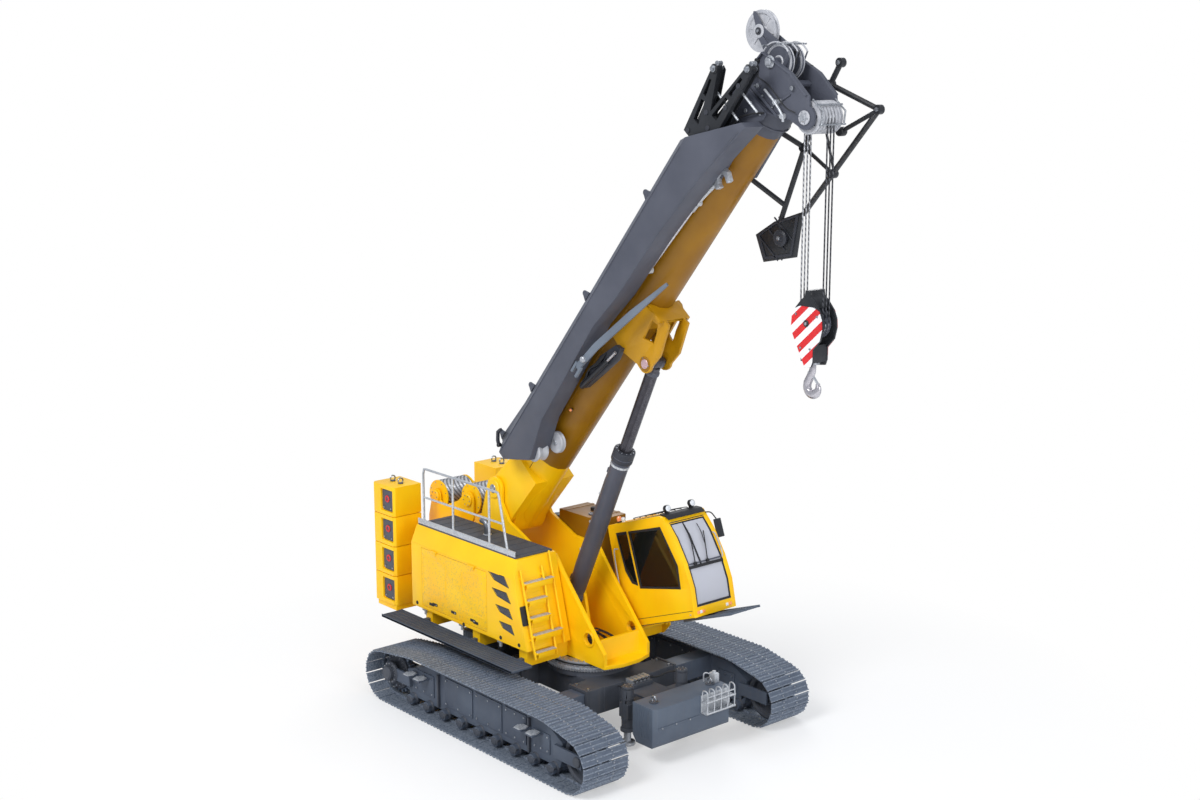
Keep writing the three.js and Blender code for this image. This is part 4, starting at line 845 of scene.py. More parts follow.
def slewRing():
    size = {"teeth": 96, "bolts": 44}
    ringTrim = Piece("slew_ring.bolts", "upper", slewFrame)
    ringTrim.add(bolts(aroundZ(0.722, size["bolts"], 1.055), 0.015, 0.022, "z"), steel)
    ringTrim.add(bolts(aroundZ(0.668, size["bolts"], 1.13), 0.015, 0.02, "z"), steel)
    ringTrim.add(turned([(0.7, 1.1), (0.706, 1.1), (0.708, 1.07), (0.7, 1.07)], 96, "z"), rubber)
    ringTrim.done(slot="bright_steel")
    gear = Piece("slew_gear", "undercarriage", slewFrame)
    outline = []
    for i in range(size["teeth"]):
        for share, radius in ((0.0, 0.752), (0.25, 0.752), (0.4, 0.775), (0.6, 0.775), (0.75, 0.752)):
            angle = 2 * math.pi * (i + share) / size["teeth"]
            outline.append((radius * math.cos(angle), radius * math.sin(angle)))
    inner = [(0.7465 * math.cos(a), 0.7465 * math.sin(a)) for a in (2 * math.pi * i / 96
        for i in range(96))]
    gear.add(ringPlate(outline, inner, 0.9855, 1.028), machined)
    gear.done(slot="bright_steel")


def carBodyTrim():
    trim = Piece("car_body.trim", "undercarriage", slewFrame)
    for sx in (-1, 1):
        for sy in (-1, 1):
            at = (sx * 1.65, sy * 0.6)
            trim.add(turned([(0.0622, 0.318), (0.112, 0.318), (0.118, 0.325), (0.118, 0.37), (0.101, 0.378),
                (0.0622, 0.378)], 32, "z", (*at, 0)), chassis)
            trim.add(turned([(0, 1.04), (0.085, 1.04), (0.1, 1.05), (0.1, 1.075), (0.085, 1.085),
                (0, 1.085)], 32, "z", (*at, 0)), chassis)
            trim.add(bolts(aroundZ(0.07, 6, 1.085, at), 0.012, 0.01, "z"), steel)
            for z in (0.52, 0.86):
                trim.add(ring(0.1, 0.106, z, z + 0.03, "z", (*at, 0), 32), chassis)
            hose = [(at[0] - sx * 0.08, at[1] - sy * 0.02, 1.02), (at[0] - sx * 0.2, at[1] - sy * 0.1, 1.0),
                (at[0] - sx * 0.35, at[1] - sy * 0.22, 0.9), (at[0] - sx * 0.52, at[1] - sy * 0.27, 0.86)]
            trim.add(tube(hose, 0.014, 10, 6), rubber)
    # gussets from the ring seat down to the sleeves, and end rings on the sleeves
    for i in range(16):
        angle = 2 * math.pi * (i + 0.5) / 16
        if abs(math.sin(angle)) < 0.35:
            continue
        turn = Matrix.Rotation(angle, 4, "Z")
        trim.add(prism([(0.7, 0.93), (0.7, 0.98), (0.728, 0.98), (0.728, 0.95)], -0.01, 0.01), chassis,
            0.003, place=turn)
    for x in (-0.86, 0.86):
        for sy in (-1, 1):
            near, far = sorted((sy * 0.955, sy * 1.0))
            for z0, z1 in ((0.9, 0.915), (0.445, 0.4602)):
                trim.add(block((x - 0.22, near, z0), (x + 0.22, far, z1)), chassis, 0.004)
            for x0, x1 in ((x - 0.235, x - 0.2202), (x + 0.2202, x + 0.235)):
                trim.add(block((x0, near, 0.445), (x1, far, 0.915)), chassis, 0.004)
            spots = [(x + dx, sy * 0.9, 0.9003) for dx in (-0.15, 0.15)]
            trim.add(bolts(spots, 0.022, 0.02, "z"), steel)
    for k, y in enumerate((-0.42, -0.33, 0.33, 0.42)):  # hoses to the track motors
        sy = -1 if y < 0 else 1
        run = [(-0.5, y * 0.8, 0.93), (-0.62, sy * 0.6, 0.97), (-0.6, sy * 0.85, 0.95),
            (-0.58 - 0.04 * (k % 2), sy * 0.96, 0.78)]
        trim.add(tube(run, 0.018, 10, 8), rubber)
    trim.add(block((1.1, -0.22, 0.8302), (1.36, 0.22, 0.9)), chassis, 0.008)  # valve bank with its levers
    for k in range(5):
        y = -0.17 + 0.085 * k
        trim.add(block((1.15, y - 0.03, 0.9), (1.31, y + 0.03, 0.975)), machined, 0.006)
        trim.add(tube([(1.31, y, 0.95), (1.36, y, 0.96), (1.41, y, 1.01)], 0.007, 8, 3), black)
    trim.done(slot="dark_grey_paint")


def ballastTrim():
    trim = Piece("ballast.trim", "undercarriage", slewFrame)
    for end in (-1, 1):
        for k in range(7):  # cast ribs on both side faces
            x = 2.15 + 0.055 * k
            for sy in (-1, 1):
                near, far = sorted((sy * 0.8495, sy * 0.8555))
                x0, x1 = sorted((end * (x - 0.008), end * (x + 0.008)))
                trim.add(block((x0, near, 0.47), (x1, far, 0.985)), ballastGrey, 0.002)
        for sy in (-1, 1):  # lifting eyes and their hook pads
            at = (end * 2.3, sy * 0.62)
            trim.add(disc(0.075, 1.0003, 1.02, "z", (*at, 0), 32), chassis)
            eye = [(at[0] + 0.045 * math.cos(a), at[1], 1.06 + 0.045 * math.sin(a))
                   for a in (math.radians(-60 + 300 * i / 14) for i in range(15))]
            trim.add(tube([(at[0] + 0.024, at[1], 1.015)] + eye[1:-1] + [(at[0] - 0.024, at[1], 1.015)],
                0.013, 10), steel)
        x0, x1 = sorted((end * 2.5802, end * 2.592))  # seam plate across the outer face
        trim.add(block((x0, -0.78, 0.66), (x1, 0.12, 0.682)), ballastGrey, 0.003)
        spots = [(end * 2.592, y, 0.671) for y in (-0.7, -0.4, -0.1)]
        trim.add(bolts(spots, 0.014, 0.012, "x", end), steel)
    trim.add(block((2.2, 0.7, 1.0003), (2.34, 0.8, 1.16)), galvanised, 0.012)  # post with a working lamp
    trim.add(tube([(2.27, 0.75, 1.16), (2.27, 0.75, 1.19)], 0.03, 16), galvanised)
    trim.add(tube([(2.16, 0.62, 1.005), (2.16, 0.62, 1.13), (2.18, 0.66, 1.15), (2.2, 0.7, 1.13)], 0.012,
        10, 5), galvanised)
    trim.done(slot="dark_grey_paint")
    rack = Piece("step_rack.welded", "undercarriage", slewFrame)
    x0 = 2.5803
    rack.add(block((x0, 0.15, 0.7), (x0 + 0.012, 0.8, 1.0)), galvanised, 0.004)
    for z in (0.7, 0.89):
        rack.add(block((x0 + 0.012, 0.15, z), (x0 + 0.15, 0.8, z + 0.012)), galvanised, 0.003)
        rack.add(block((x0 + 0.138, 0.15, z), (x0 + 0.15, 0.8, z + 0.035)), galvanised, 0.003)
        for k in range(12):
            y = 0.19 + 0.053 * k
            rack.add(block((x0 + 0.02, y - 0.006, z + 0.0119), (x0 + 0.13, y + 0.006, z + 0.022)),
                galvanised, 0.002)
    for k in range(5):  # bent round bars, standing above the tread
        y = 0.17 + 0.1525 * k
        loop = [(x0 + 0.02, y, 0.91), (x0 + 0.02, y, 1.05), (x0 + 0.05, y, 1.088), (x0 + 0.1, y, 1.088),
                (x0 + 0.135, y, 1.05), (x0 + 0.14, y, 0.88), (x0 + 0.135, y, 0.715)]
        rack.add(tube(loop, 0.0115, 10, 4), galvanised)
    rack.add(tube([(x0 + 0.14, 0.17, 1.0), (x0 + 0.14, 0.78, 1.0)], 0.01, 10), galvanised)
    rack.done("step_rack", slot="bright_steel")


# upper works

def hoodTrim():
    size = {"side": -1.46, "slats": 6}
    trim = Piece("engine_hood.louvres", "upper", slewFrame)
    for i in range(4):
        x0, x1 = -0.905 + 0.095 * i, -0.5 + 0.06 * i
        x2, x3 = -0.38 + 0.047 * i, -0.76 + 0.075 * i
        top, low, back = 2.59 - 0.27 * i, 2.43 - 0.263 * i, 2.48 - 0.263 * i
        vent = [(x0, top), (x1, top), (x2, low), (x3, back)]
        trim.add(prism(vent, size["side"] + 0.022, size["side"] + 0.036), black)
        middle = Vector(((x0 + x1 + x2 + x3) / 4, (2 * top + low + back) / 4))
        rim = [tuple(middle + (Vector(p) - middle) * 1.07) for p in vent]
        for a, b in zip(rim, rim[1:] + rim[:1]):  # pressed edge round each opening
            trim.add(tube([(a[0], size["side"] + 0.002, a[1]), (b[0], size["side"] + 0.002, b[1])], 0.006,
                8), black)
        for k in range(size["slats"]):
            t = (k + 0.5) / size["slats"]
            left = Vector((x0, top)).lerp(Vector((x3, back)), t)
            right = Vector((x1, top)).lerp(Vector((x2, low)), t)
            slat = [(size["side"] + 0.002, -0.012), (size["side"] + 0.024, 0.008),
                (size["side"] + 0.024, 0.014), (size["side"] + 0.002, -0.006)]
            shape = bmesh.new()
            rows = [[shape.verts.new((p.x, y, p.y + z)) for y, z in slat] for p in (left, right)]
            trim.add(skinned(shape, rows), graphite)
    # rubber feet, lamp recess, lifting sockets and the seams between the pressed sheets
    for x, z in ((-3.05, 1.5), (-1.65, 1.455), (-0.6, 1.5), (-0.1, 1.5)):
        trim.add(disc(0.034, size["side"] - 0.008, size["side"] + 0.01, "y", (x, 0, z), 24), rubber)
    for x in (-2.6, -1.3):
        latch = roundedOutline(x - 0.07, x + 0.07, 1.55, 1.6, 0.015)
        trim.add(prism(latch, size["side"] - 0.008, size["side"] - 0.0003), rubber, 0.003)
    trim.add(block((-3.19, size["side"] - 0.005, 2.592), (-0.62, size["side"] + 0.004, 2.6)), yellow, 0.002)
    lean, foot = 0.4 / 1.47, Vector((0.11, 0, 1.43))  # slope and foot of the hood's front sheet
    pad = [(-1.445, 1.86), (-1.335, 1.86), (-1.32, 1.88), (-1.32, 2.17), (-1.335, 2.19), (-1.445, 2.19),
        (-1.458, 2.17), (-1.458, 1.88)]
    front = (Matrix.Translation(foot) @ Matrix.Rotation(-math.atan(lean), 4, "Y")
             @ Matrix.Translation((0, 0, -foot.z)))
    trim.add(prism(pad, 0.001, 0.028, "yz"), rubber, 0.01, place=front)
    for z in (1.62, 1.9, 2.18, 2.46, 2.74):  # front sheet stiffening seams
        trim.add(block((-0.001, -1.3, z - 0.004), (0.004, -0.62, z + 0.004)), yellow, 0.001, place=front)
    for x in (-2.9, -1.8, -0.7):  # rubber-lined mounts under the housing
        trim.add(block((x - 0.06, -1.42, 1.37), (x + 0.06, -1.34, 1.4295)), galvanised, 0.008)
        trim.add(disc(0.03, 1.3, 1.37, "z", (x, -1.38, 0), 20), galvanised)
    trim.done(slot="black_paint")
    doorTrim = Piece("hood_door.trim", "hood_door", slewFrame)
    for x in (-2.5, -1.94, -1.38):
        latch = roundedOutline(x - 0.075, x + 0.075, 1.57, 1.62, 0.018)
        doorTrim.add(prism(latch, size["side"] - 0.0075, size["side"] - 0.0003), rubber, 0.003)
        doorTrim.add(disc(0.012, size["side"] - 0.014, size["side"] - 0.0075, "y", (x + 0.045, 0, 1.595),
            20, 0.002), galvanised)
    for x0, x1 in ((-2.86, -2.17), (-1.71, -1.02)):  # swaged panels that stiffen the door
        outer = roundedOutline(x0, x1, 1.7, 2.42, 0.06)
        inner = roundedOutline(x0 + 0.014, x1 - 0.014, 1.714, 2.406, 0.05)
        doorTrim.add(frameBetween(outer, inner, size["side"] - 0.004, size["side"] + 0.001), yellow, 0.0015,
            segments=1)
    doorTrim.done(slot="machine_yellow")


def walkwayParts():
    size = {"rail": 0.021, "deck": 2.9003, "top": 3.95, "middle": 3.43, "y": -1.31}
    walk = Piece("walkway.finished", "upper", slewFrame)
    walk.add(block((-3.16, -1.33, size["deck"]), (-0.35, -0.54, 2.93)), grit, 0.004)
    walk.add(block((-3.16, -1.33, 2.9302), (-0.35, -1.324, 3.02)), galvanised, 0.002)
    walk.add(block((-3.16, -1.33, 3.016), (-0.35, -1.312, 3.024)), galvanised, 0.003)
    y = size["y"]
    walk.add(tube([(-3.0, y, 2.93), (-3.0, y, 3.85), (-2.97, y, size["top"] - 0.005),
        (-2.9, y, size["top"]), (-0.9, y, size["top"]), (-0.83, y, size["top"] - 0.01), (-0.8, y, 3.87),
        (-0.56, y, 2.908)], size["rail"], 14), galvanised)
    walk.add(tube([(-3.0, y, size["middle"]), (-0.69, y, size["middle"])], size["rail"] * 0.85, 12),
        galvanised)
    for x in (-2.12, -1.08):
        walk.add(tube([(x, y, 2.93), (x, y, size["top"])], size["rail"], 14), galvanised)
    for x in (-3.0, -2.12, -1.08, -0.565):
        walk.add(block((x - 0.05, y - 0.012, 2.93), (x + 0.05, y + 0.05, 2.942)), galvanised, 0.004)
        walk.add(bolts([(x - 0.03, y + 0.035, 2.942), (x + 0.03, y + 0.035, 2.942)], 0.009, 0.008, "z"),
            steel)
        walk.add(tube([(x, y, 2.94), (x, y, 3.02)], size["rail"] + 0.006, 14), galvanised)
    for k in range(11):  # raised bars across the deck
        x = -3.05 + 0.26 * k
        walk.add(block((x, -1.28, 2.9298), (x + 0.02, -0.58, 2.936)), grit, 0.002)
    walk.done("walkway", slot="bright_steel")


def ladderTreads():
    size = {"lean": 0.4 / 1.47, "near": -1.33}
    treads = Piece("hood_ladder.treads", "upper", slewFrame)
    for i in range(5):
        z = 1.4 + 0.28 * i
        x = 0.11 - (z - 1.43) * size["lean"] + 0.065
        far = -0.72 if i in (1, 4) else -0.92
        treads.add(block((x - 0.04, size["near"], z + 0.0152), (x + 0.05, far, z + 0.024)), galvanised,
            0.003)
        treads.add(block((x - 0.036, size["near"] + 0.03, z - 0.085), (x + 0.046, far - 0.03, z + 0.0152)),
            yellow, 0.008)
        count = int((far - size["near"]) / 0.035)
        for k in range(count):
            y = size["near"] + 0.02 + 0.035 * k
            treads.add(prism([(x - 0.038, z + 0.023), (x + 0.048, z + 0.023), (x + 0.048, z + 0.03),
                (x + 0.025, z + 0.026), (x + 0.005, z + 0.032), (x - 0.015, z + 0.026),
                (x - 0.038, z + 0.03)], y - 0.004, y + 0.004), galvanised)
        if i < 4:  # box behind each opening between the steps
            mid = x - 0.5 * 0.28 * size["lean"]
            treads.add(block((mid - 0.052, -1.29, z + 0.1), (mid - 0.04, -0.96, z + 0.2)), yellow, 0.006)
    treads.done(slot="machine_yellow")


def counterweightMarks():
    size = {"bottom": 1.25, "pitch": 0.557, "face": 1.46, "deep": 0.045}
    for side, sign in (("right", -1), ("left", 1)):
        marks = Piece("counterweight_" + side + ".inserts", "upper", slewFrame)
        for i in range(4):
            z0 = size["bottom"] + size["pitch"] * i
            y = sign * (size["face"] - size["deep"])
            near, far = sorted((y + sign * 0.0004, y + sign * 0.014))
            marks.add(prism(roundedOutline(-4.14, -3.8, z0 + 0.08, z0 + 0.467, 0.05), near, far), graphite,
                0.004)
            near, far = sorted((y + sign * 0.014, y + sign * 0.032))
            marks.add(ring(0.036, 0.066, near, far, "y", (-3.97, 0, z0 + 0.3), 40, 0.006), signalRed)
            marks.add(disc(0.034, *sorted((y + sign * 0.014, y + sign * 0.024)), "y", (-3.97, 0, z0 + 0.3),
                32), graphite)
            near, far = sorted((y + sign * 0.014, y + sign * 0.03))
            marks.add(bolts([(x, y + sign * 0.014, z0 + 0.13) for x in (-4.08, -3.86)], 0.018, 0.014, "y",
                sign), steel)
            rear = -4.42
            for yy in (0.95, 1.32):  # cast lugs on the rear face that locate each slab
                y0, y1 = sorted((sign * (yy - 0.05), sign * (yy + 0.05)))
                marks.add(block((rear - 0.012, y0, z0 + 0.2), (rear - 0.0003, y1, z0 + 0.34)), yellow,
                    0.006)
        top = size["bottom"] + size["pitch"] * 4 - 0.014
        for x in (-4.2, -3.95):
            eye = [(x, sign * 1.155 + 0.05 * math.cos(a), top + 0.055 + 0.05 * math.sin(a))
                   for a in (math.radians(-50 + 280 * i / 14) for i in range(15))]
            marks.add(tube(eye, 0.014, 10), steel)
            marks.add(disc(0.05, top + 0.0003, top + 0.014, "z", (x, sign * 1.155, 0), 28), graphite)
        marks.done(slot="dark_grey_paint")


def winchTrim():
    size = {"drum": 0.215, "half": 0.3, "rope": 0.0115, "layers": 3}
    for name, x, z in (("main_winch", -3.94, 3.1), ("auxiliary_winch", -2.93, 3.23)):
        wound = Piece(name + "_rope", name, slewFrame)
        radius = size["drum"] + size["layers"] * size["rope"] * 1.8
        turns = int(size["half"] * 2 / (size["rope"] * 2.1))
        profile = [(size["drum"] + 0.001, -size["half"] + 0.002)]
        for k in range(turns):
            middle = -size["half"] + 0.004 + size["rope"] * (2.1 * k + 1)
            for share in (-0.8, -0.3, 0.3, 0.8):
                profile.append((radius + size["rope"] * (1 - share * share) - 0.004,
                    middle + share * size["rope"]))
        profile.append((size["drum"] + 0.001, size["half"] - 0.002))
        wound.add(turned(profile, 64, "y", (x, 0, z)), wireRope)
        for face in (-1, 1):
            for a in range(8):
                angle = math.radians(45 * a + 20)
                at = (x + 0.25 * math.cos(angle), face * 0.3302, z + 0.25 * math.sin(angle))
                wound.add(bolts([at], 0.012, 0.008, "y", face), steel)
        wound.done(slot="bright_steel")
        trim = Piece(name + "_drive", "upper", slewFrame)
        low, high = 0.3902, 0.47
        trim.add(disc(0.17, low, high, "y", (x, 0, z), 48, 0.02), yellow)
        trim.add(disc(0.1, high - 0.01, high + 0.1, "y", (x, 0, z), 40, 0.015), graphite)
        trim.add(bolts([(x + 0.14 * math.cos(a), high, z + 0.14 * math.sin(a))
            for a in (math.pi * i / 5 for i in range(10))], 0.012, 0.012, "y", 1), steel)
        trim.add(disc(0.12, -0.43, -0.3902, "y", (x, 0, z), 40, 0.014), yellow)
        trim.add(bolts([(x + 0.09 * math.cos(a), -0.43, z + 0.09 * math.sin(a))
            for a in (math.pi * i / 3 for i in range(6))], 0.012, 0.01, "y", -1), steel)
        for k, dz in enumerate((0.02, -0.04)):
            trim.add(tube([(x, high + 0.07, z + dz), (x + 0.12, high + 0.1, z + dz - 0.05),
                (x + 0.3, 0.5, z - 0.3 - 0.05 * k), (x + 0.42, 0.42, z - 0.62)], 0.016, 10, 6), rubber)
        trim.done(slot="machine_yellow")


def frameTrim():
    boomPin, liftFoot = (-2.0, 0, 3.65), (0.56, 0, 1.56)
    trim = Piece("upper_frame.trim", "upper", slewFrame)
    for sy in (-1, 1):
        face = sy * 0.5002
        # boss and keeper round the boom pin, and round the lift cylinder's foot pin
        near, far = sorted((face, face + sy * 0.035))
        trim.add(ring(0.082, 0.17, near, far, "y", boomPin, 48, 0.01), yellow)
        near, far = sorted((sy * 0.5253, sy * 0.54))
        trim.add(disc(0.078, near, far, "y", boomPin, 40, 0.006), machined)
        trim.add(bolts([(boomPin[0] + 0.05 * math.cos(a), sy * 0.54, boomPin[2] + 0.05 * math.sin(a))
            for a in (math.pi * i / 2 for i in range(4))], 0.011, 0.01, "y", sy), steel)
        near, far = sorted((face, face + sy * 0.018))
        trim.add(ring(0.1105, 0.14, near, far, "y", liftFoot, 40, 0.005), yellow)
        # doubler along the sloping front edge of each side plate
        edge = [(0.93, 1.2), (0.955, 1.2), (0.955, 1.385), (0.505, 1.875), (-0.105, 2.54), (-0.335, 2.825),
            (-0.39, 2.825), (-0.14, 2.5), (0.47, 1.84), (0.93, 1.36)]
        trim.add(prism(edge, *sorted((face, face + sy * 0.012))), yellow, 0.004)
    # rotary joint and hoses in the middle of the deck
    trim.add(disc(0.16, 1.1906, 1.36, "z", (0.0, 0.0, 0), 40, 0.015), graphite)
    trim.add(disc(0.1, 1.36, 1.46, "z", (0.0, 0.0, 0), 32, 0.012), machined)
    for k in range(8):
        a = 2 * math.pi * k / 8 + 0.2
        start = (0.1 * math.cos(a), 0.1 * math.sin(a), 1.42)
        far = (0.2 * math.cos(a), 0.2 * math.sin(a), 1.43)
        end = (0.45, 0.3 * math.sin(a), 1.26)
        trim.add(tube([start, far, ((far[0] + end[0]) / 2 + 0.05, end[1], 1.36), end], 0.013, 8, 6), rubber)
    # hoses that climb between the side plates to a bulkhead plate
    for k in range(6):
        y = -0.4 + 0.03 * k
        run = [(-0.9, y, 1.24), (-1.3, y, 1.35), (-1.75, y, 1.8), (-1.95, y, 2.3)]
        trim.add(tube(run, 0.012, 8, 6), rubber)
    trim.add(block((-2.03, -0.4398, 2.28), (-1.9, -0.2, 2.34)), galvanised, 0.006)
    for k in range(3):  # stiffeners between the plates
        x = -1.9 - 0.32 * k
        trim.add(block((x - 0.015, -0.4398, 1.1903), (x + 0.015, 0.4398, 1.34)), yellow, 0.005)
    trim.done(slot="machine_yellow")


def leftSideTrim():
    trim = Piece("left_housing.trim", "upper", slewFrame)
    y = 1.4602
    for x0, x1 in ((-3.12, -2.36), (-2.32, -1.56)):  # two doors with seams, hinges and latches
        outer = roundedOutline(x0, x1, 1.5, 2.34, 0.03)
        inner = roundedOutline(x0 + 0.01, x1 - 0.01, 1.51, 2.33, 0.024)
        trim.add(frameBetween(outer, inner, y - 0.003, y + 0.0015), black)
        trim.add(prism(roundedOutline(x0 + 0.08, x0 + 0.2, 1.9, 1.95, 0.015), y + 0.0003, y + 0.009),
            rubber, 0.003)
        for z in (1.62, 2.22):
            trim.add(tube([(x1 - 0.012, y + 0.008, z - 0.04), (x1 - 0.012, y + 0.008, z + 0.04)], 0.009,
                12), galvanised)
        for k in range(7):  # pressed air slots
            z = 1.6 + 0.035 * k
            trim.add(prism(roundedOutline(x0 + 0.26, x1 - 0.1, z, z + 0.014, 0.006, 3), y + 0.0002,
                y + 0.007), black, 0.002, segments=1)
    # tank: straps, filler, sight glass and the gauge plate
    for x in (-1.3, -0.6):
        # straps in the amber copy of the yellow: painted shade
        trim.add(block((x - 0.03, 1.1802, 1.5), (x + 0.03, 1.188, 3.2)), yellowPaintedShade, 0.003)
        trim.add(block((x - 0.03, 0.53, 3.2202), (x + 0.03, 1.188, 3.228)), yellowPaintedShade, 0.003)
    trim.add(disc(0.06, 3.2202, 3.28, "z", (-0.95, 0.9, 0), 36, 0.01), rubber)
    trim.add(disc(0.09, 3.2202, 3.24, "z", (-0.75, 0.72, 0), 36, 0.006), graphite)
    trim.add(bolts(aroundZ(0.075, 8, 3.24, (-0.75, 0.72)), 0.01, 0.008, "z"), steel)
    trim.add(prism(roundedOutline(-0.78, -0.7, 2.2, 2.6, 0.02), 1.1802, 1.196), galvanised, 0.004)
    trim.add(prism(roundedOutline(-0.755, -0.725, 2.24, 2.56, 0.012), 1.196, 1.2), paleGlassPaintedReflection, 0.002)
    # air intake and exhaust behind the tank
    trim.add(turned([(0, 2.5003), (0.07, 2.5003), (0.07, 2.85), (0.11, 2.87), (0.12, 2.95), (0.1, 3.0),
        (0, 3.02)], 36, "z", (-1.8, 0.8, 0)), black)
    trim.add(tube([(-1.75, -0.85, 2.9), (-1.75, -0.85, 3.06), (-1.79, -0.85, 3.14), (-1.9, -0.85, 3.17)],
        0.06, 20, 5), steel)
    trim.add(ring(0.058, 0.075, 2.93, 2.945, "z", (-1.75, -0.85, 0), 32), galvanised)
    trim.add(block((-3.1, 0.56, 2.5003), (-1.6, 1.3, 2.512)), grit, 0.003)
    trim.done(slot="machine_yellow")


def catwalkTrim():
    trim = Piece("right_catwalk.finished", "upper", slewFrame)
    trim.add(cadShape("right_catwalk"), trackPaint, 0.005, place=slewFrame.inverted())
    for k in range(54):  # serrated bars of the grating
        x = -3.47 + 0.07 * k
        trim.add(block((x - 0.004, -1.92, 1.2618), (x + 0.004, -1.51, 1.272)), trackPaint)
    for y in (-1.926, -1.508):
        trim.add(block((-3.5, y - 0.004, 1.222), (0.3, y + 0.004, 1.275)), trackPaint, 0.002)
    for x in (-2.8, -1.4, -0.1):
        trim.add(bolts([(x + d, -1.505, 1.255) for d in (-0.02, 0.02)], 0.01, 0.01, "y", -1), steel)
    trim.done("right_catwalk", slot="dark_grey_paint")


# boom and what rides on it

def boomShell(grow):  # the boom's section grown on every side, as (y, z)
    half, top, base, deep = 0.34 + grow, 0.126 + grow, -0.705 - grow, 0.4 + grow
    belly = [(half * math.cos(math.pi + math.pi * i / 24),
        base + deep + deep * math.sin(math.pi + math.pi * i / 24)) for i in range(25)]
    return [(half, top - 0.06), (half - 0.06, top), (0.06 - half, top), (-half, top - 0.06)] + belly


def boomTrim():
    trim = Piece("boom_base.trim", "boom", boomFrame)
    # graphite guard that wraps the mouth and runs back along both sides
    for sy in (-1, 1):
        y = sorted((sy * 0.3862, sy * 0.4))
        guard = [(7.75, -0.38), (8.0, -0.3), (8.55, 0.02), (9.15, 0.1), (9.155, -0.62), (9.05, -0.64),
            (8.85, -0.5), (8.4, -0.52), (7.8, -0.54)]
        trim.add(prism(guard, *y), graphite, 0.005)
        inner = sorted((sy * 0.3403, sy * 0.3862))
        trim.add(prism([(7.78, -0.4), (8.3, -0.2), (8.32, -0.26), (7.82, -0.46)], *inner), graphite, 0.003)
        trim.add(prism([(7.8, -0.5), (8.85, -0.47), (8.85, -0.51), (7.8, -0.54)], *inner), graphite, 0.003)
        spots = [(s, sy * 0.4, n) for s, n in ((8.0, -0.42), (8.35, -0.4), (8.7, -0.35), (8.98, -0.1),
            (9.05, -0.35), (9.08, -0.55))]
        trim.add(bolts(spots, 0.02, 0.016, "y", sy), steel)
        # adjusting screws of the slide pads, and the long weld beside the top corner
        for s in (8.93, 9.07):
            for n in (-0.02, -0.3):
                trim.add(disc(0.03, *sorted((sy * 0.4, sy * 0.415)), "y", (s, 0, n), 24, 0.004), machined)
        # the weld in the amber copy of the yellow: painted shade
        trim.add(tube([(0.9, sy * 0.339, -0.304), (8.88, sy * 0.339, -0.304)], 0.006, 8), yellowPaintedShade)
        # foot doubler and its bolts
        y = sorted((sy * 0.4252, sy * 0.437))
        trim.add(ring(0.084, 0.19, *y, "y", (0, 0, 0), 48, 0.006), yellow)
    for grow, s0, s1 in ((0.0463, 8.9, 8.925), (0.0463, 9.12, 9.148)):  # rolled edges of the collar
        outer, inner = boomShell(grow + 0.008), boomShell(grow)
        trim.add(frameBetween(outer, inner, s0, s1, "yz"), graphite, 0.002, segments=1)
    for s in (2.0, 5.1, 7.2):  # cable clips along the top plate
        trim.add(block((s - 0.03, -0.2, 0.1262), (s + 0.03, -0.12, 0.15)), galvanised, 0.004)
    for k, y in enumerate((-0.185, -0.16, -0.135)):
        trim.add(tube([(0.4, y, 0.17), (1.2, y, 0.142), (8.85, y, 0.142)], 0.009, 8), rubber)
    trim.add(disc(0.03, -0.362, -0.3402, "y", (2.55, 0, -0.42), 24, 0.006), rubber)
    trim.add(turned([(0, -0.395), (0.016, -0.392), (0.024, -0.38), (0.024, -0.362), (0, -0.362)], 24, "y",
        (2.55, 0, -0.42)), lampAmber)
    trim.done(slot="boom_amber")


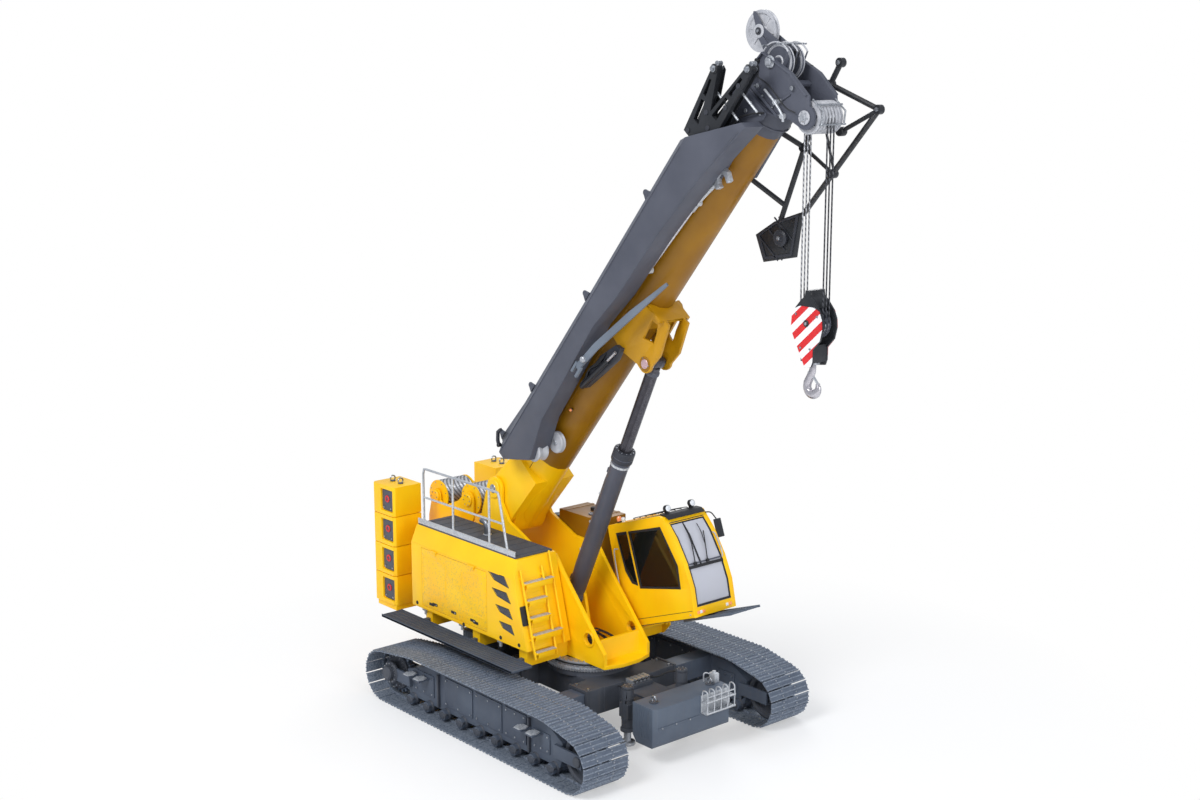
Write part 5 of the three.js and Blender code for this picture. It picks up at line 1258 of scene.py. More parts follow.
def jibGear():
    gear = Piece("stowed_jib.gear", "boom", boomFrame)
    # folding ram between the jib and the boom
    ram = [(5.75, -0.41, -0.33), (7.27, -0.41, -0.44), (7.82, -0.41, -0.555)]
    gear.add(tube(ram[:2], 0.026, 18), chromeBright)
    gear.add(tube([(7.1, -0.41, -0.4277), ram[1]], 0.042, 20), galvanised, 0.004)
    gear.add(tube(ram[1:], 0.032, 18), galvanised)
    for s, n in ((5.75, -0.33), (7.27, -0.44)):
        gear.add(disc(0.058, -0.455, -0.365, "y", (s, 0, n), 28, 0.008), galvanised)
    hook = [(7.7, -0.62), (7.72, -0.52), (7.8, -0.45), (7.95, -0.44), (8.03, -0.5), (8.05, -0.62),
        (7.98, -0.74), (7.92, -0.72), (7.97, -0.6), (7.94, -0.53), (7.85, -0.53), (7.79, -0.6),
        (7.78, -0.66)]
    gear.add(prism(hook, -0.45, -0.36), galvanised, 0.008)
    # carrying bar that runs from outside the jib down across the boom's side
    gear.add(strap([(3.72, -0.865, -0.45), (4.3, -0.84, -0.535), (5.1, -0.62, -0.63), (5.86, -0.4, -0.745)],
        0.04, [0.1, 0.12, 0.12, 0.05]), barGrey, 0.006)
    for n in (-0.4, -0.52):
        gear.add(strap([(3.58, -0.865, n), (3.8, -0.865, n + 0.005)], 0.05, 0.045), barGrey, 0.008)
    gear.add(disc(0.05, -0.92, -0.81, "y", (3.95, 0, -0.48), 28, 0.008), machined)
    # dark swing bracket and its small cylinder under the jib
    bracket = [(3.15, -0.36), (3.9, -0.42), (4.3, -0.56), (4.34, -0.68), (4.1, -0.72), (3.6, -0.6),
        (3.2, -0.5)]
    gear.add(prism(bracket, -0.46, -0.345), graphiteDark, 0.012)
    gear.add(tube([(3.2, -0.5, -0.46), (4.0, -0.5, -0.62)], 0.045, 20), black, 0.004)
    gear.add(tube([(4.0, -0.5, -0.62), (4.25, -0.5, -0.67)], 0.024, 16), chromeBright)
    for k in range(3):
        gear.add(tube([(3.3, -0.47, -0.42 - 0.03 * k), (3.55, -0.5, -0.4), (3.8, -0.49, -0.5 + 0.02 * k),
            (4.05, -0.47, -0.5)], 0.011, 8, 5), rubber)
    # end of the jib: two pale rollers on a plate, a stop, and pin lugs
    for s, n, y0, y1 in ((1.62, -0.46, -0.74, -0.52), (1.9, -0.56, -0.46, -0.36)):
        gear.add(turned([(0.03, y0), (0.17, y0), (0.185, y0 + 0.02), (0.15, (y0 + y1) / 2),
            (0.185, y1 - 0.02), (0.17, y1), (0.03, y1)], 44, "y", (s, 0, n)), nylon)
        gear.add(disc(0.05, y0 - 0.02, y1 + 0.02, "y", (s, 0, n), 28, 0.006), machined)
    for y in (-0.765, -0.5):
        gear.add(prism([(1.35, -0.42), (1.75, -0.5), (1.78, -0.38), (1.55, -0.2), (1.3, -0.15)], y - 0.012,
            y + 0.012), graphite, 0.004)
    gear.add(strap([(1.32, -0.8, 0.3), (1.22, -0.8, 0.33), (1.1, -0.8, 0.24), (1.05, -0.8, 0.16)], 0.05,
        0.05), graphiteDark, 0.008)
    gear.add(disc(0.035, -0.84, -0.77, "y", (1.07, 0, 0.16), 24, 0.006), black)
    for s, n in ((1.15, 0.33), (2.4, 0.3), (4.6, 0.292), (6.8, 0.27)):  # lifting lugs on the upper edge
        lug = [(s - 0.09, n - 0.05)] + arcPoints((s, n + 0.03), 0.05, 180, 0, 8) + [(s + 0.09, n - 0.05)]
        gear.add(prism(lug, -0.68, -0.655), graphite, 0.004)
    for s in (2.4, 7.0):  # clamps of the two storage brackets
        for n in (-0.18, -0.02):
            gear.add(disc(0.028, -0.485, -0.345, "y", (s, 0, n), 20, 0.004), steel)
        gear.add(block((s - 0.13, -0.36, -0.25), (s + 0.13, -0.3402, -0.22)), graphite, 0.004)
    # edges of the folded side plates
    for rail in ([(1.56, -0.842, -0.57), (2.33, -0.842, -0.36), (4.5, -0.842, -0.275),
        (5.26, -0.842, -0.372), (6.65, -0.842, -0.42), (7.97, -0.842, -0.55), (8.9, -0.842, -0.7)],
        [(1.06, -0.842, 0.05), (7.95, -0.842, 0.055)]):
        gear.add(tube(rail, 0.008, 8), graphite)
    gear.done(slot="dark_grey_paint")


def forkAndFly():
    fork = Piece("jib_fork.lugs", "boom", boomFrame)
    root = 7.94
    for s, n in ((root + 1.24, 0.32), (root + 1.665, -0.2)):
        fork.add(disc(0.068, -0.745, -0.615, "y", (s, 0, n), 32, 0.008), black)
        fork.add(disc(0.034, -0.79, -0.57, "y", (s, 0, n), 24, 0.005), steel)
        fork.add(disc(0.05, -0.765, -0.745, "y", (s, 0, n), 28, 0.004), steel)
        fork.add(disc(0.038, -0.73, -0.63, "y", (s + 0.085, 0, n + 0.01), 24, 0.006), steel)
    # pale struts across the arms
    for start, end in (((8.88, 0.2), (8.86, -0.42)), ((9.2, -0.18), (9.19, -0.62))):
        fork.add(tube([(start[0], -0.6, start[1]), (end[0], -0.6, end[1])], 0.018, 14), galvanised)
    for s, n in ((8.15, 0.17), (8.6, 0.05), (8.45, -0.12), (8.9, -0.2), (9.3, -0.2)):
        fork.add(disc(0.04, -0.735, -0.61, "y", (s, 0, n), 24, 0.006), graphiteDark)
    inner = [[(8.1, 0.06), (8.36, -0.13), (9.2, 0.27), (9.22, 0.34), (9.14, 0.37), (8.1, 0.22)],
             [(8.36, -0.12), (8.54, -0.28), (9.6, -0.25), (9.66, -0.2), (9.6, -0.15), (8.5, 0.0)]]
    for arm in inner:  # second plate of each arm, nearer the boom
        fork.add(prism(arm, -0.56, -0.54), black, 0.004)
    for s, n in ((8.3, 0.1), (8.8, 0.22), (9.15, 0.3), (8.6, -0.15), (9.1, -0.2), (9.55, -0.2)):
        fork.add(tube([(s, -0.65, n), (s, -0.545, n)], 0.022, 14), black)
    fork.add(tube([(8.4, -0.5, -0.35), (8.75, -0.48, -0.3), (9.0, -0.46, -0.45), (9.15, -0.42, -0.6)],
        0.014, 8, 6), rubber)
    fork.done(slot="black_paint")
    fly = Piece("fly_frame.lugs", "boom", boomFrame)
    y, end = 0.75, 9.89
    for s, n in ((end + 0.03, -0.45), (end, -1.42)):
        fly.add(disc(0.07, y - 0.05, y + 0.05, "y", (s, 0, n), 32, 0.008), black)
        fly.add(disc(0.03, y - 0.075, y + 0.075, "y", (s, 0, n), 24, 0.005), steel)
    for s, n in ((end - 0.33, -0.5), (end - 0.69, -0.55), (end - 0.69, -1.1), (end - 1.34, -0.72),
        (end - 1.25, -1.38)):
        fly.add(turned([(0, y - 0.06), (0.062, y - 0.06), (0.068, y - 0.05), (0.068, y + 0.05),
            (0.062, y + 0.06), (0, y + 0.06)], 28, "y", (s, 0, n)), black)
    for sy, (s0, n0), (s1, n1) in ((-1, (end - 0.33, -0.5), (end - 0.69, -1.1)),
        (1, (end - 0.69, -0.55), (end - 1.25, -1.38))):
        fly.add(tube([(s0, y + sy * 0.03, n0), (s1, y + sy * 0.03, n1)], 0.02, 12), black)
    # folded shroud at the lower end: a ribbed plate, a roller and a pin
    shroud = [(end - 2.55, -1.04), (end - 2.95, -0.9), (end - 3.13, -1.25), (end - 2.68, -1.62),
        (end - 2.12, -1.31)]
    middle = Vector((sum(p[0] for p in shroud) / 5, sum(p[1] for p in shroud) / 5))
    rim = [tuple(middle + (Vector(p) - middle) * 0.86) for p in shroud]
    for side in (-1, 1):
        low, high = sorted((y + side * 0.0402, y + side * 0.055))
        fly.add(frameBetween(shroud, rim, low, high), graphiteDark, 0.004)
        for k in range(3):
            a = middle + Vector((-0.25 + 0.22 * k, -0.12))
            fly.add(block((a.x - 0.012, low, a.y - 0.12), (a.x + 0.012, high, a.y + 0.36)), graphiteDark,
                0.003)
    fly.add(turned([(0, y - 0.12), (0.1, y - 0.12), (0.13, y - 0.1), (0.1, y), (0.13, y + 0.1),
        (0.1, y + 0.12), (0, y + 0.12)], 40, "y", (end - 2.62, 0, -1.3)), graphiteDark)
    fly.add(disc(0.03, y - 0.15, y + 0.15, "y", (end - 2.62, 0, -1.3), 24, 0.006), steel)
    for s in (end - 2.24, end - 1.34):
        for n in (-0.14, -0.25):
            fly.add(bolts([(s + d, 0.4, n) for d in (-0.04, 0.04)], 0.014, 0.012, "y", 1), steel)
    fly.done(slot="black_paint")


def liftGear():
    pin = Piece("lift_bracket.pin", "boom", boomFrame)
    liftPin = (4.378, 0, -1.078)
    for sy in (-1, 1):
        pin.add(disc(0.078, *sorted((sy * 0.2303, sy * 0.25)), "y", liftPin, 40, 0.008), pinkSteel)
        # keeper ring in the amber copy of the yellow: painted shade
        pin.add(ring(0.08, 0.12, *sorted((sy * 0.2303, sy * 0.242)), "y", liftPin, 40, 0.004), yellowPaintedShade)
        pin.add(bolts([(liftPin[0] + 0.1 * math.cos(a), sy * 0.242, liftPin[2] + 0.1 * math.sin(a))
            for a in (math.radians(60 + 120 * i) for i in range(3))], 0.01, 0.01, "y", sy), steel)
    pin.done(slot="boom_amber")
    barrel = Piece("lift_barrel.ports", "lift_barrel", liftFrame)
    r = 0.155
    for at in (0.32, 2.6):  # welded ports, pipes and clips
        barrel.add(block((at - 0.05, -0.04, r - 0.01), (at + 0.05, 0.04, r + 0.045)), graphite, 0.01)
    barrel.add(tube([(0.42, 0.0, 0.185), (0.55, 0.0, 0.196), (2.4, 0.0, 0.196), (2.56, 0.0, 0.185)], 0.014,
        12, 1), graphite)
    for at in (0.9, 1.5, 2.1):
        barrel.add(block((at - 0.02, -0.03, r - 0.006), (at + 0.02, 0.03, r + 0.056)), galvanised, 0.006)
    barrel.add(turned([(0.1565, 2.92), (0.183, 2.925), (0.185, 2.935), (0.185, 2.99), (0.176, 2.995),
        (0.176, 3.01), (0.185, 3.015), (0.185, 3.1), (0.18, 3.128), (0.16, 3.136), (0.118, 3.138),
        (0.107, 3.13), (0.107, 3.1), (0.15, 3.1)], 56, "x"), graphiteDark)
    barrel.add(turned([(0.156, 2.82), (0.166, 2.825), (0.166, 2.86), (0.156, 2.865)], 56, "x"), galvanised)
    for k in range(12):
        a = 2 * math.pi * k / 12
        barrel.add(bolts([(3.136, 0.148 * math.cos(a), 0.148 * math.sin(a))], 0.013, 0.012, "x", 1), steel)
    barrel.add(block((0.18, -0.08, 0.1), (0.26, 0.08, 0.17)), graphite, 0.012)
    barrel.add(tube([(0.22, 0.06, 0.15), (0.1, 0.14, 0.2), (-0.02, 0.2, 0.13), (-0.08, 0.22, 0.02)], 0.018,
        10, 6), rubber)
    barrel.done(slot="dark_grey_paint")
    eye = Piece("lift_rod.eye", "lift_rod", liftFrame)
    reach = 4.84585
    eye.add(turned([(0.1055, reach - 0.222), (0.12, reach - 0.215), (0.12, reach - 0.17),
        (0.1055, reach - 0.15)], 44, "x"), graphite)
    for sy in (-1, 1):
        eye.add(ring(0.061, 0.095, *sorted((sy * 0.1053, sy * 0.118)), "y", (reach, 0, 0), 40, 0.004),
            machined)
    eye.done(slot="dark_grey_paint")


# boom head, ropes and hook

def headGear():
    head = Piece("boom_head.gear", "boom_head", boomFrame)
    top, low, nose = (9.69, -0.15), (9.54, -1.15), (9.73, 0.47)
    for y in (-0.105, 0.105):  # guide sheaves with their rope grooves
        head.add(turned([(0.06, y - 0.033), (0.075, y - 0.04), (0.09, y - 0.033), (0.1, y - 0.012),
            (0.2, y - 0.012), (0.215, y - 0.03), (0.252, y - 0.032), (0.25, y - 0.022), (0.222, y - 0.008),
            (0.222, y + 0.008), (0.25, y + 0.022), (0.252, y + 0.032), (0.215, y + 0.03), (0.2, y + 0.012),
            (0.1, y + 0.012), (0.09, y + 0.033), (0.075, y + 0.04), (0.06, y + 0.033)], 56, "y",
            (top[0], 0, top[1])), nylon)
    for y in (-0.2, 0.0, 0.2):  # curved guards over them
        guard = [(top[0] + 0.275 * math.cos(a), y, top[1] + 0.275 * math.sin(a))
            for a in (math.radians(-20 + 160 * i / 16) for i in range(17))]
        head.add(tube(guard, 0.012, 10), nylon)
        head.add(tube([(top[0] + 0.26, y, top[1] - 0.09), (9.6, y, -0.33)], 0.012, 10), graphite)
    for a in (15, 75, 125):
        at = (top[0] + 0.275 * math.cos(math.radians(a)), top[1] + 0.275 * math.sin(math.radians(a)))
        head.add(tube([(at[0], -0.3, at[1]), (at[0], 0.3, at[1])], 0.014, 12), steel)
    for (s, n), radius in ((low, 0.1), (top, 0.09)):
        for sy in (-1, 1):
            head.add(disc(radius, *sorted((sy * 0.3003, sy * 0.335)), "y", (s, 0, n), 40, 0.01),
                nylon if radius > 0.095 else machined)
            head.add(disc(radius * 0.55, *sorted((sy * 0.335, sy * 0.36)), "y", (s, 0, n), 32, 0.008),
                machined)
            head.add(bolts([(s + radius * 0.78 * math.cos(a), sy * 0.335, n + radius * 0.78 * math.sin(a))
                            for a in (math.pi * i / 3 for i in range(6))], 0.009, 0.008, "y", sy), steel)
    for sy in (-1, 1):  # two dark arms that hold the nose sheave and reach to its far rim
        y = sorted((sy * 0.0683, sy * 0.082))
        for arm in ([(9.6, -0.04), (9.68, -0.06), (9.73, 0.36), (9.66, 0.42), (9.64, 0.41)],
                    [(9.84, -0.14), (9.9, -0.08), (9.83, 0.42), (9.78, 0.46), (9.74, 0.36)],
                    [(9.64, 0.4), (9.82, 0.4), (9.9, 0.7), (9.875, 0.735), (9.84, 0.72)]):
            head.add(prism(arm, *y), graphite, 0.004)
        head.add(disc(0.1, *sorted((sy * 0.0683, sy * 0.088)), "y", (nose[0], 0, nose[1]), 36, 0.004),
            nylon)
        y = sorted((sy * 0.088, sy * 0.1))
        head.add(disc(0.055, *y, "y", (nose[0], 0, nose[1]), 36, 0.006), graphiteDark)
        head.add(disc(0.025, *sorted((sy * 0.1, sy * 0.118)), "y", (nose[0], 0, nose[1]), 24, 0.005), steel)
    # flanges and ribs of the cheek plates
    for sy in (-1, 1):
        y = sorted((sy * 0.3003, sy * 0.34))
        front = [(9.8, -0.98), (9.83, -0.55), (9.705, 0.05), (9.56, 0.07), (9.55, 0.05), (9.69, 0.03),
            (9.805, -0.55), (9.775, -0.98)]
        head.add(prism(front, *y), graphite, 0.004)
        head.add(prism([(9.25, -0.6), (9.6, -0.75), (9.605, -0.73), (9.25, -0.575)],
            *sorted((sy * 0.3003, sy * 0.325))), graphite, 0.004)
        for n in (-0.14, -0.35, -0.6, -0.76):
            head.add(bolts([(9.244, sy * 0.32, n)], 0.016, 0.014, "x", 1), steel)
        for s, n in ((9.3, -0.2), (9.42, -0.66), (9.7, -0.72), (9.3, -0.85)):  # pins with keepers
            head.add(disc(0.032, *sorted((sy * 0.3003, sy * 0.35)), "y", (s, 0, n), 24, 0.006), steel)
    for s, n in ((9.36, -0.62), (9.3, -0.845)):  # pipes on the right cheek
        head.add(disc(0.04, -0.375, -0.3003, "y", (s, 0, n), 24, 0.006), galvanised)
    head.add(tube([(9.36, -0.35, -0.35), (9.36, -0.36, -0.62), (9.32, -0.36, -0.84), (9.25, -0.34, -0.9)],
        0.02, 12, 5), galvanised)
    head.add(tube([(9.4, -0.34, -0.12), (9.46, -0.36, -0.4), (9.44, -0.36, -0.8), (9.5, -0.35, -1.0)], 0.01,
        8, 6), rubber)
    # wind cup, lamp and rope end socket
    for s, y, n in ((9.9, 0.06, -0.2), (9.76, 0.31, -0.36), (9.55, -0.31, 0.05)):
        head.add(tube([(s - 0.14, y, n - 0.08), (s, y, n)], 0.014, 10), black)
        head.add(turned([(0, -0.04), (0.03, -0.035), (0.042, 0.0), (0.03, 0.035), (0, 0.04)], 20, "y",
            (s, y, n)), black)
    head.add(block((9.26, -0.2, 0.1), (9.42, 0.2, 0.16)), graphite, 0.012)
    for y in (-0.23, 0.23):  # rope keepers ahead of the lower sheaves
        head.add(tube([(9.78, y, -1.05), (9.78, y, -1.3), (9.62, y, -1.4)], 0.014, 10), steel)
    for s, n in ((9.785, -1.17), (9.62, -1.395)):
        head.add(tube([(s, -0.27, n), (s, 0.27, n)], 0.014, 12), steel)
    head.done(slot="dark_grey_paint")


def sheaves():
    headAxle, noseAxle = (9.54, 0, -1.15), (9.73, 0, 0.47)
    grooves = Piece("head_sheaves.turned", "head_sheaves", boomFrame)
    count, pitch, radius, depth, bore = 7, 0.066, 0.232, 0.032, 0.046
    profile = [(bore, -count * pitch / 2)]
    for i in range(count):
        y = -count * pitch / 2 + pitch * i
        profile += [(radius - 0.004, y + 0.001), (radius, y + 0.005), (radius, y + pitch * 0.18)]
        profile += [(radius - depth + 0.011 * (1 - math.sin(math.radians(a))),
            y + pitch / 2 - 0.0125 * math.cos(math.radians(a))) for a in (0, 30, 60, 90, 120, 150, 180)]
        profile += [(radius, y + pitch * 0.82), (radius, y + pitch - 0.005),
            (radius - 0.004, y + pitch - 0.001)]
    profile.append((bore, count * pitch / 2))
    grooves.add(turned(profile, 64, "y", headAxle), nylon)
    for face in (-1, 1):
        for k in range(8):
            a = 2 * math.pi * k / 8
            low, high = sorted((face * 0.2305, face * 0.236))
            grooves.add(disc(0.028, low, high, "y", (headAxle[0] + 0.14 * math.cos(a), 0,
                headAxle[2] + 0.14 * math.sin(a)), 20, 0.002), graphite)
    grooves.done("head_sheaves", slot="bright_steel")
    nose = Piece("nose_sheave.turned", "nose_sheave", boomFrame)
    nose.add(turned([(0.026, -0.04), (0.07, -0.042), (0.085, -0.035), (0.1, -0.014), (0.235, -0.014),
        (0.255, -0.034), (0.3, -0.038), (0.298, -0.026), (0.268, -0.009), (0.266, 0.0), (0.268, 0.009),
        (0.298, 0.026), (0.3, 0.038), (0.255, 0.034), (0.235, 0.014), (0.1, 0.014), (0.085, 0.035),
        (0.07, 0.042), (0.026, 0.04)], 72, "y", noseAxle), nylon)
    for k in range(6):  # ribs of the web
        a = 2 * math.pi * k / 6
        spoke = Matrix.Translation(noseAxle) @ Matrix.Rotation(a, 4, "Y")
        nose.add(block((0.09, -0.026, -0.009), (0.246, 0.026, 0.009)), nylon, 0.005, place=spoke)
    nose.done("nose_sheave", slot="bright_steel")


def hoistRopes():
    size = {"x": 0.2113, "pitch": 0.066, "drop": 2.89, "radius": 0.0115}
    falls = Piece("hoist_ropes.stranded", "hook_block", rigFrame)
    for k in (-1, 0, 1):
        y = k * size["pitch"]
        # the falls on the +x side take the dark copy of the rope: painted shade
        for x, finish in ((-size["x"], wireRope), (size["x"], shadedRope)):
            falls.add(tube([(x, y, 0), (x, y, -size["drop"])], size["radius"], 16), finish)
        over = [(size["x"] * math.cos(a), y, size["x"] * math.sin(a))
            for a in (math.pi * i / 16 for i in range(17))]
        falls.add(tube(over, size["radius"] * 0.9, 10), wireRope)
        under = [(size["x"] * math.cos(a), y, size["x"] * math.sin(a) - size["drop"])
            for a in (math.pi + math.pi * i / 16 for i in range(17))]
        falls.add(tube(under, size["radius"] * 0.9, 10), wireRope)
        falls.add(turned([(0.046, y - 0.03), (0.215, y - 0.03), (0.235, y - 0.026), (0.205, y - 0.01),
            (0.205, y + 0.01), (0.235, y + 0.026), (0.215, y + 0.03), (0.046, y + 0.03)], 48, "y",
            (0, 0, -size["drop"])), graphite)
    falls.add(turned([(0, -0.129), (0.045, -0.129), (0.045, 0.129), (0, 0.129)], 28, "y",
        (0, 0, -size["drop"])), steel)
    falls.done("hoist_ropes", slot="bright_steel")


def stripedPlate(outline, low, high, finishes, piece, pitch, lean):
    shape = prism(outline, low, high)
    across = Vector((math.cos(math.radians(lean)), 0, math.sin(math.radians(lean))))
    for k in range(-12, 13):  # cut along every stripe edge, then paint the bands in turn
        bmesh.ops.bisect_plane(shape, geom=shape.verts[:] + shape.edges[:] + shape.faces[:], dist=1e-6,
                               plane_co=across * (k * pitch) + Vector((0, 0, -2.95)), plane_no=across)
    for band, finish in enumerate(finishes):
        part = shape.copy()
        wrong = [f for f in part.faces if math.floor((f.calc_center_median() - Vector((0, 0,
            -2.95))).dot(across) / pitch) % 2 != band]
        bmesh.ops.delete(part, geom=wrong, context="FACES")
        piece.add(part, finish)
    shape.free()


def hookBlock():
    axle = -2.89
    body = Piece("hook_block.finished", "hook_block", rigFrame)
    body.add(cadShape("hook_block"), black, 0.006, place=rigFrame.inverted())
    cheek = [(0.02, -0.63), (0.095, -0.615), (0.125, -0.54), (0.127, -0.362), (0.255, -0.222),
        (0.296, -0.06), (0.287, 0.08), (0.233, 0.196), (0.13, 0.24), (-0.13, 0.24), (-0.233, 0.196),
        (-0.287, 0.08), (-0.296, -0.06), (-0.266, -0.18), (-0.188, -0.318), (-0.137, -0.42), (-0.02, -0.63)]
    for sy in (-1, 1):
        low, high = sorted((sy * 0.1602, sy * 0.168))
        stripedPlate([(x, z + axle) for x, z in cheek], low, high, (signalRed, signWhite), body, 0.098, 132)
        low, high = sorted((sy * 0.168, sy * 0.185))
        body.add(disc(0.05, low, high, "y", (0, 0, axle), 36, 0.006), black)
        body.add(disc(0.024, *sorted((sy * 0.185, sy * 0.2)), "y", (0, 0, axle), 24, 0.005), steel)
        for x, z in ((-0.1, -0.36), (0.08, -0.36), (0.0, 0.3), (-0.2, 0.12), (0.2, 0.12)):
            body.add(bolts([(x, sy * 0.168 if z < 0.25 else sy * 0.135, axle + z)], 0.018, 0.014, "y", sy),
                steel)
        body.add(disc(0.07, *sorted((sy * 0.1352, sy * 0.16)), "y", (0, 0, axle - 0.56 + 0.06), 32, 0.008),
            graphiteDark)
    dome = [(-0.16, 0.22), (0.16, 0.22), (0.14, 0.3), (0.09, 0.36), (0.045, 0.39), (0.04, 0.465),
        (-0.04, 0.465), (-0.045, 0.39), (-0.09, 0.36), (-0.14, 0.3)]
    body.add(prism([(x, z + axle) for x, z in dome], -0.1355, 0.1355), black, 0.02, 3)
    body.add(tube([(0, -0.06, axle + 0.44), (0, 0.06, axle + 0.44)], 0.028, 20), steel)
    body.add(turned([(0, axle - 0.565), (0.09, axle - 0.565), (0.1, axle - 0.575), (0.1, axle - 0.6),
        (0.06, axle - 0.615), (0.044, axle - 0.615), (0.044, axle - 0.565)], 36, "z"), steel)
    body.done("hook_block", slot="black_paint")
    cross, bowl = axle - 0.56, axle - 0.94
    hook = Piece("hook.forged", "hook", rigFrame)
    route = [(0.0, cross - 0.005, 0.046), (0.0, cross - 0.08, 0.048), (-0.012, cross - 0.15, 0.056),
        (-0.058, cross - 0.25, 0.062), (-0.1, cross - 0.33, 0.066)]
    for i in range(15):
        a = math.radians(183 + 200 * i / 14)
        share = i / 14
        thick = 0.07 - 0.012 * abs(share - 0.45) - 0.026 * max(0, share - 0.65) / 0.35
        route.append((0.107 * math.cos(a), bowl + 0.107 * math.sin(a), thick))
    route.append((0.122, bowl + 0.06, 0.022))
    hook.add(swept(route, 0.82), chromeBright)
    hook.add(strap([(-0.05, 0, cross - 0.17), (0.03, 0, cross - 0.25), (0.118, 0, bowl + 0.035)], 0.05,
        0.008), galvanised, 0.002)
    hook.add(tube([(-0.05, -0.05, cross - 0.165), (-0.05, 0.05, cross - 0.165)], 0.012, 14), steel)
    hook.add(turned([(0, cross - 0.0005), (0.06, cross - 0.0005), (0.066, cross - 0.01),
        (0.066, cross - 0.05), (0.05, cross - 0.06), (0, cross - 0.06)], 6, "z"), steel, 0.003)
    hook.done("hook", slot="bright_steel")


# cab

def cabGlass():
    inner, outer = 0.62, 1.58
    big = [(0.62, 0.64), (1.61, 0.52), (1.66, 0.9), (1.45, 1.56), (0.64, 1.6)]
    rear = [(0.33, 0.98), (0.42, 0.76), (0.56, 0.7), (0.57, 1.6), (0.3, 1.61)]
    panes = Piece("cab_windows", "cab", cabFrame)
    for pane in (big, rear):  # dark side panes in black rubber, pillar between them
        panes.add(prism(grown(pane, -0.002), inner + 0.012, inner + 0.018), darkGlass)
        panes.add(frameBetween(grown(pane, 0.024), grown(pane, -0.03), inner - 0.004, inner + 0.012),
            rubber, 0.002, segments=1)
    panes.add(prism(roundedOutline(0.67, 1.33, 0.79, 1.41, 0.03), 1.77, 1.776, "xy"), darkGlass)
    panes.add(prism(roundedOutline(0.79, 1.41, 0.97, 1.58, 0.03), 0.075, 0.081, "yz"), darkGlass)
    panes.done("right_window", slot="window_glass")
    screen = Piece("windscreen.laminated", "cab", cabFrame)
    # the windscreen's pale body colour is painted reflection
    screen.add(cadShape("windscreen"), paleGlassPaintedReflection, place=cabFrame.inverted())
    screen.done("windscreen", slot="window_glass")
    trim = Piece("cab_shell.trim", "cab", cabFrame)
    front = [(1.815, 0.17), (1.858, 0.48), (1.824, 0.9), (1.715, 1.35), (1.606, 1.585)]
    for y0, y1 in ((0.7, 0.735), (1.465, 1.5)):  # black screen surround, and the bar between its two panes
        for (xa, za), (xb, zb) in zip(front, front[1:]):
            quad = [(xa - 0.02, za), (xa + 0.004, za), (xb + 0.004, zb), (xb - 0.02, zb)]
            trim.add(prism(quad, y0, y1), rubber)
    for x, z, high in ((1.818, 0.165, 0.035), (1.837, 0.79, 0.05), (1.606, 1.565, 0.05)):
        trim.add(block((x - 0.024, 0.705, z), (x + 0.006, 1.495, z + high)), rubber, 0.004)
    trim.add(block((1.822, 0.715, 0.86), (1.832, 1.485, 0.885)), graphite, 0.003)
    trim.add(block((1.722, 1.06, 0.86), (1.742, 1.1, 0.88)), rubber)
    middle = [(1.838, 0.84), (1.824, 0.9), (1.715, 1.35), (1.606, 1.585)]
    for (xa, za), (xb, zb) in zip(middle, middle[1:]):  # centre strip of the upper pane
        trim.add(prism([(xa - 0.016, za), (xa + 0.002, za), (xb + 0.002, zb), (xb - 0.016, zb)], 0.985,
            1.01), rubber)
    # wipers: two arms, blades and a motor cover
    for y0, y1, y2 in ((0.86, 0.98, 0.93), (1.14, 1.3, 1.22)):
        trim.add(tube([(1.85, y0, 0.87), (1.8, (y0 + y1) / 2, 1.14), (1.735, y1, 1.36)], 0.009, 8, 4),
            rubber)
        trim.add(tube([(1.798, y2, 1.1), (1.742, y2 + 0.02, 1.34), (1.672, y2 + 0.03, 1.5)], 0.007, 8, 4),
            rubber)
        trim.add(disc(0.026, y0 - 0.03, y0 + 0.03, "y", (1.85, 0, 0.87), 20, 0.006), rubber)
    # seams, skirt and black sill along the bottom
    for x0, x1, z0, z1 in ((0.03, 1.8, 0.115, 0.123), (0.03, 1.8, -0.004, 0.006)):
        trim.add(block((x0, inner - 0.003, z0), (x1, inner + 0.001, z1)), rubber)
    trim.add(prism([(1.52, 0.03), (1.805, 0.03), (1.86, 0.48), (1.828, 0.9), (1.8, 0.9), (1.83, 0.48),
        (1.78, 0.06), (1.52, 0.06)], inner - 0.004, inner + 0.0005), yellow, 0.0015, segments=1)
    for x, z in ((0.09, 0.06), (0.09, 0.2), (1.72, 0.06)):
        trim.add(disc(0.014, inner - 0.012, inner - 0.0003, "y", (x, 0, z), 20, 0.003), galvanised)
    # lamps at the foot of the screen, on the roof edge, and a beacon
    for k, (y, finish) in enumerate(((0.72, lampAmber), (0.78, lampClear), (0.84, lampAmber),
        (1.38, lampClear), (1.46, lampAmber))):
        trim.add(block((1.803, y - 0.026, 0.05), (1.822, y + 0.026, 0.1)), finish, 0.006)
    for y in (0.82, 1.38):
        trim.add(block((1.44, y - 0.02, 1.77), (1.5, y + 0.02, 1.81)), black, 0.006)
        trim.add(turned([(0, 1.46), (0.05, 1.46), (0.062, 1.475), (0.062, 1.53), (0.056, 1.54), (0, 1.54)],
            28, "x", (0, y, 1.85)), black)
        trim.add(turned([(0, 1.5395), (0.053, 1.5395), (0.04, 1.548), (0, 1.55)], 28, "x", (0, y, 1.85)),
            lampClear)
    trim.add(disc(0.05, 1.789, 1.815, "z", (0.3, 0.76, 0), 28, 0.006), black)
    trim.add(turned([(0, 1.815), (0.044, 1.815), (0.044, 1.87), (0.034, 1.895), (0, 1.905)], 32, "z",
        (0.3, 0.76, 0)), lampAmber)
    trim.add(turned([(0, 1.788), (0.03, 1.788), (0.03, 1.81), (0.038, 1.82), (0.038, 1.85), (0.02, 1.87),
        (0, 1.872)], 28, "z", (0.45, 0.72, 0)), lampClear)
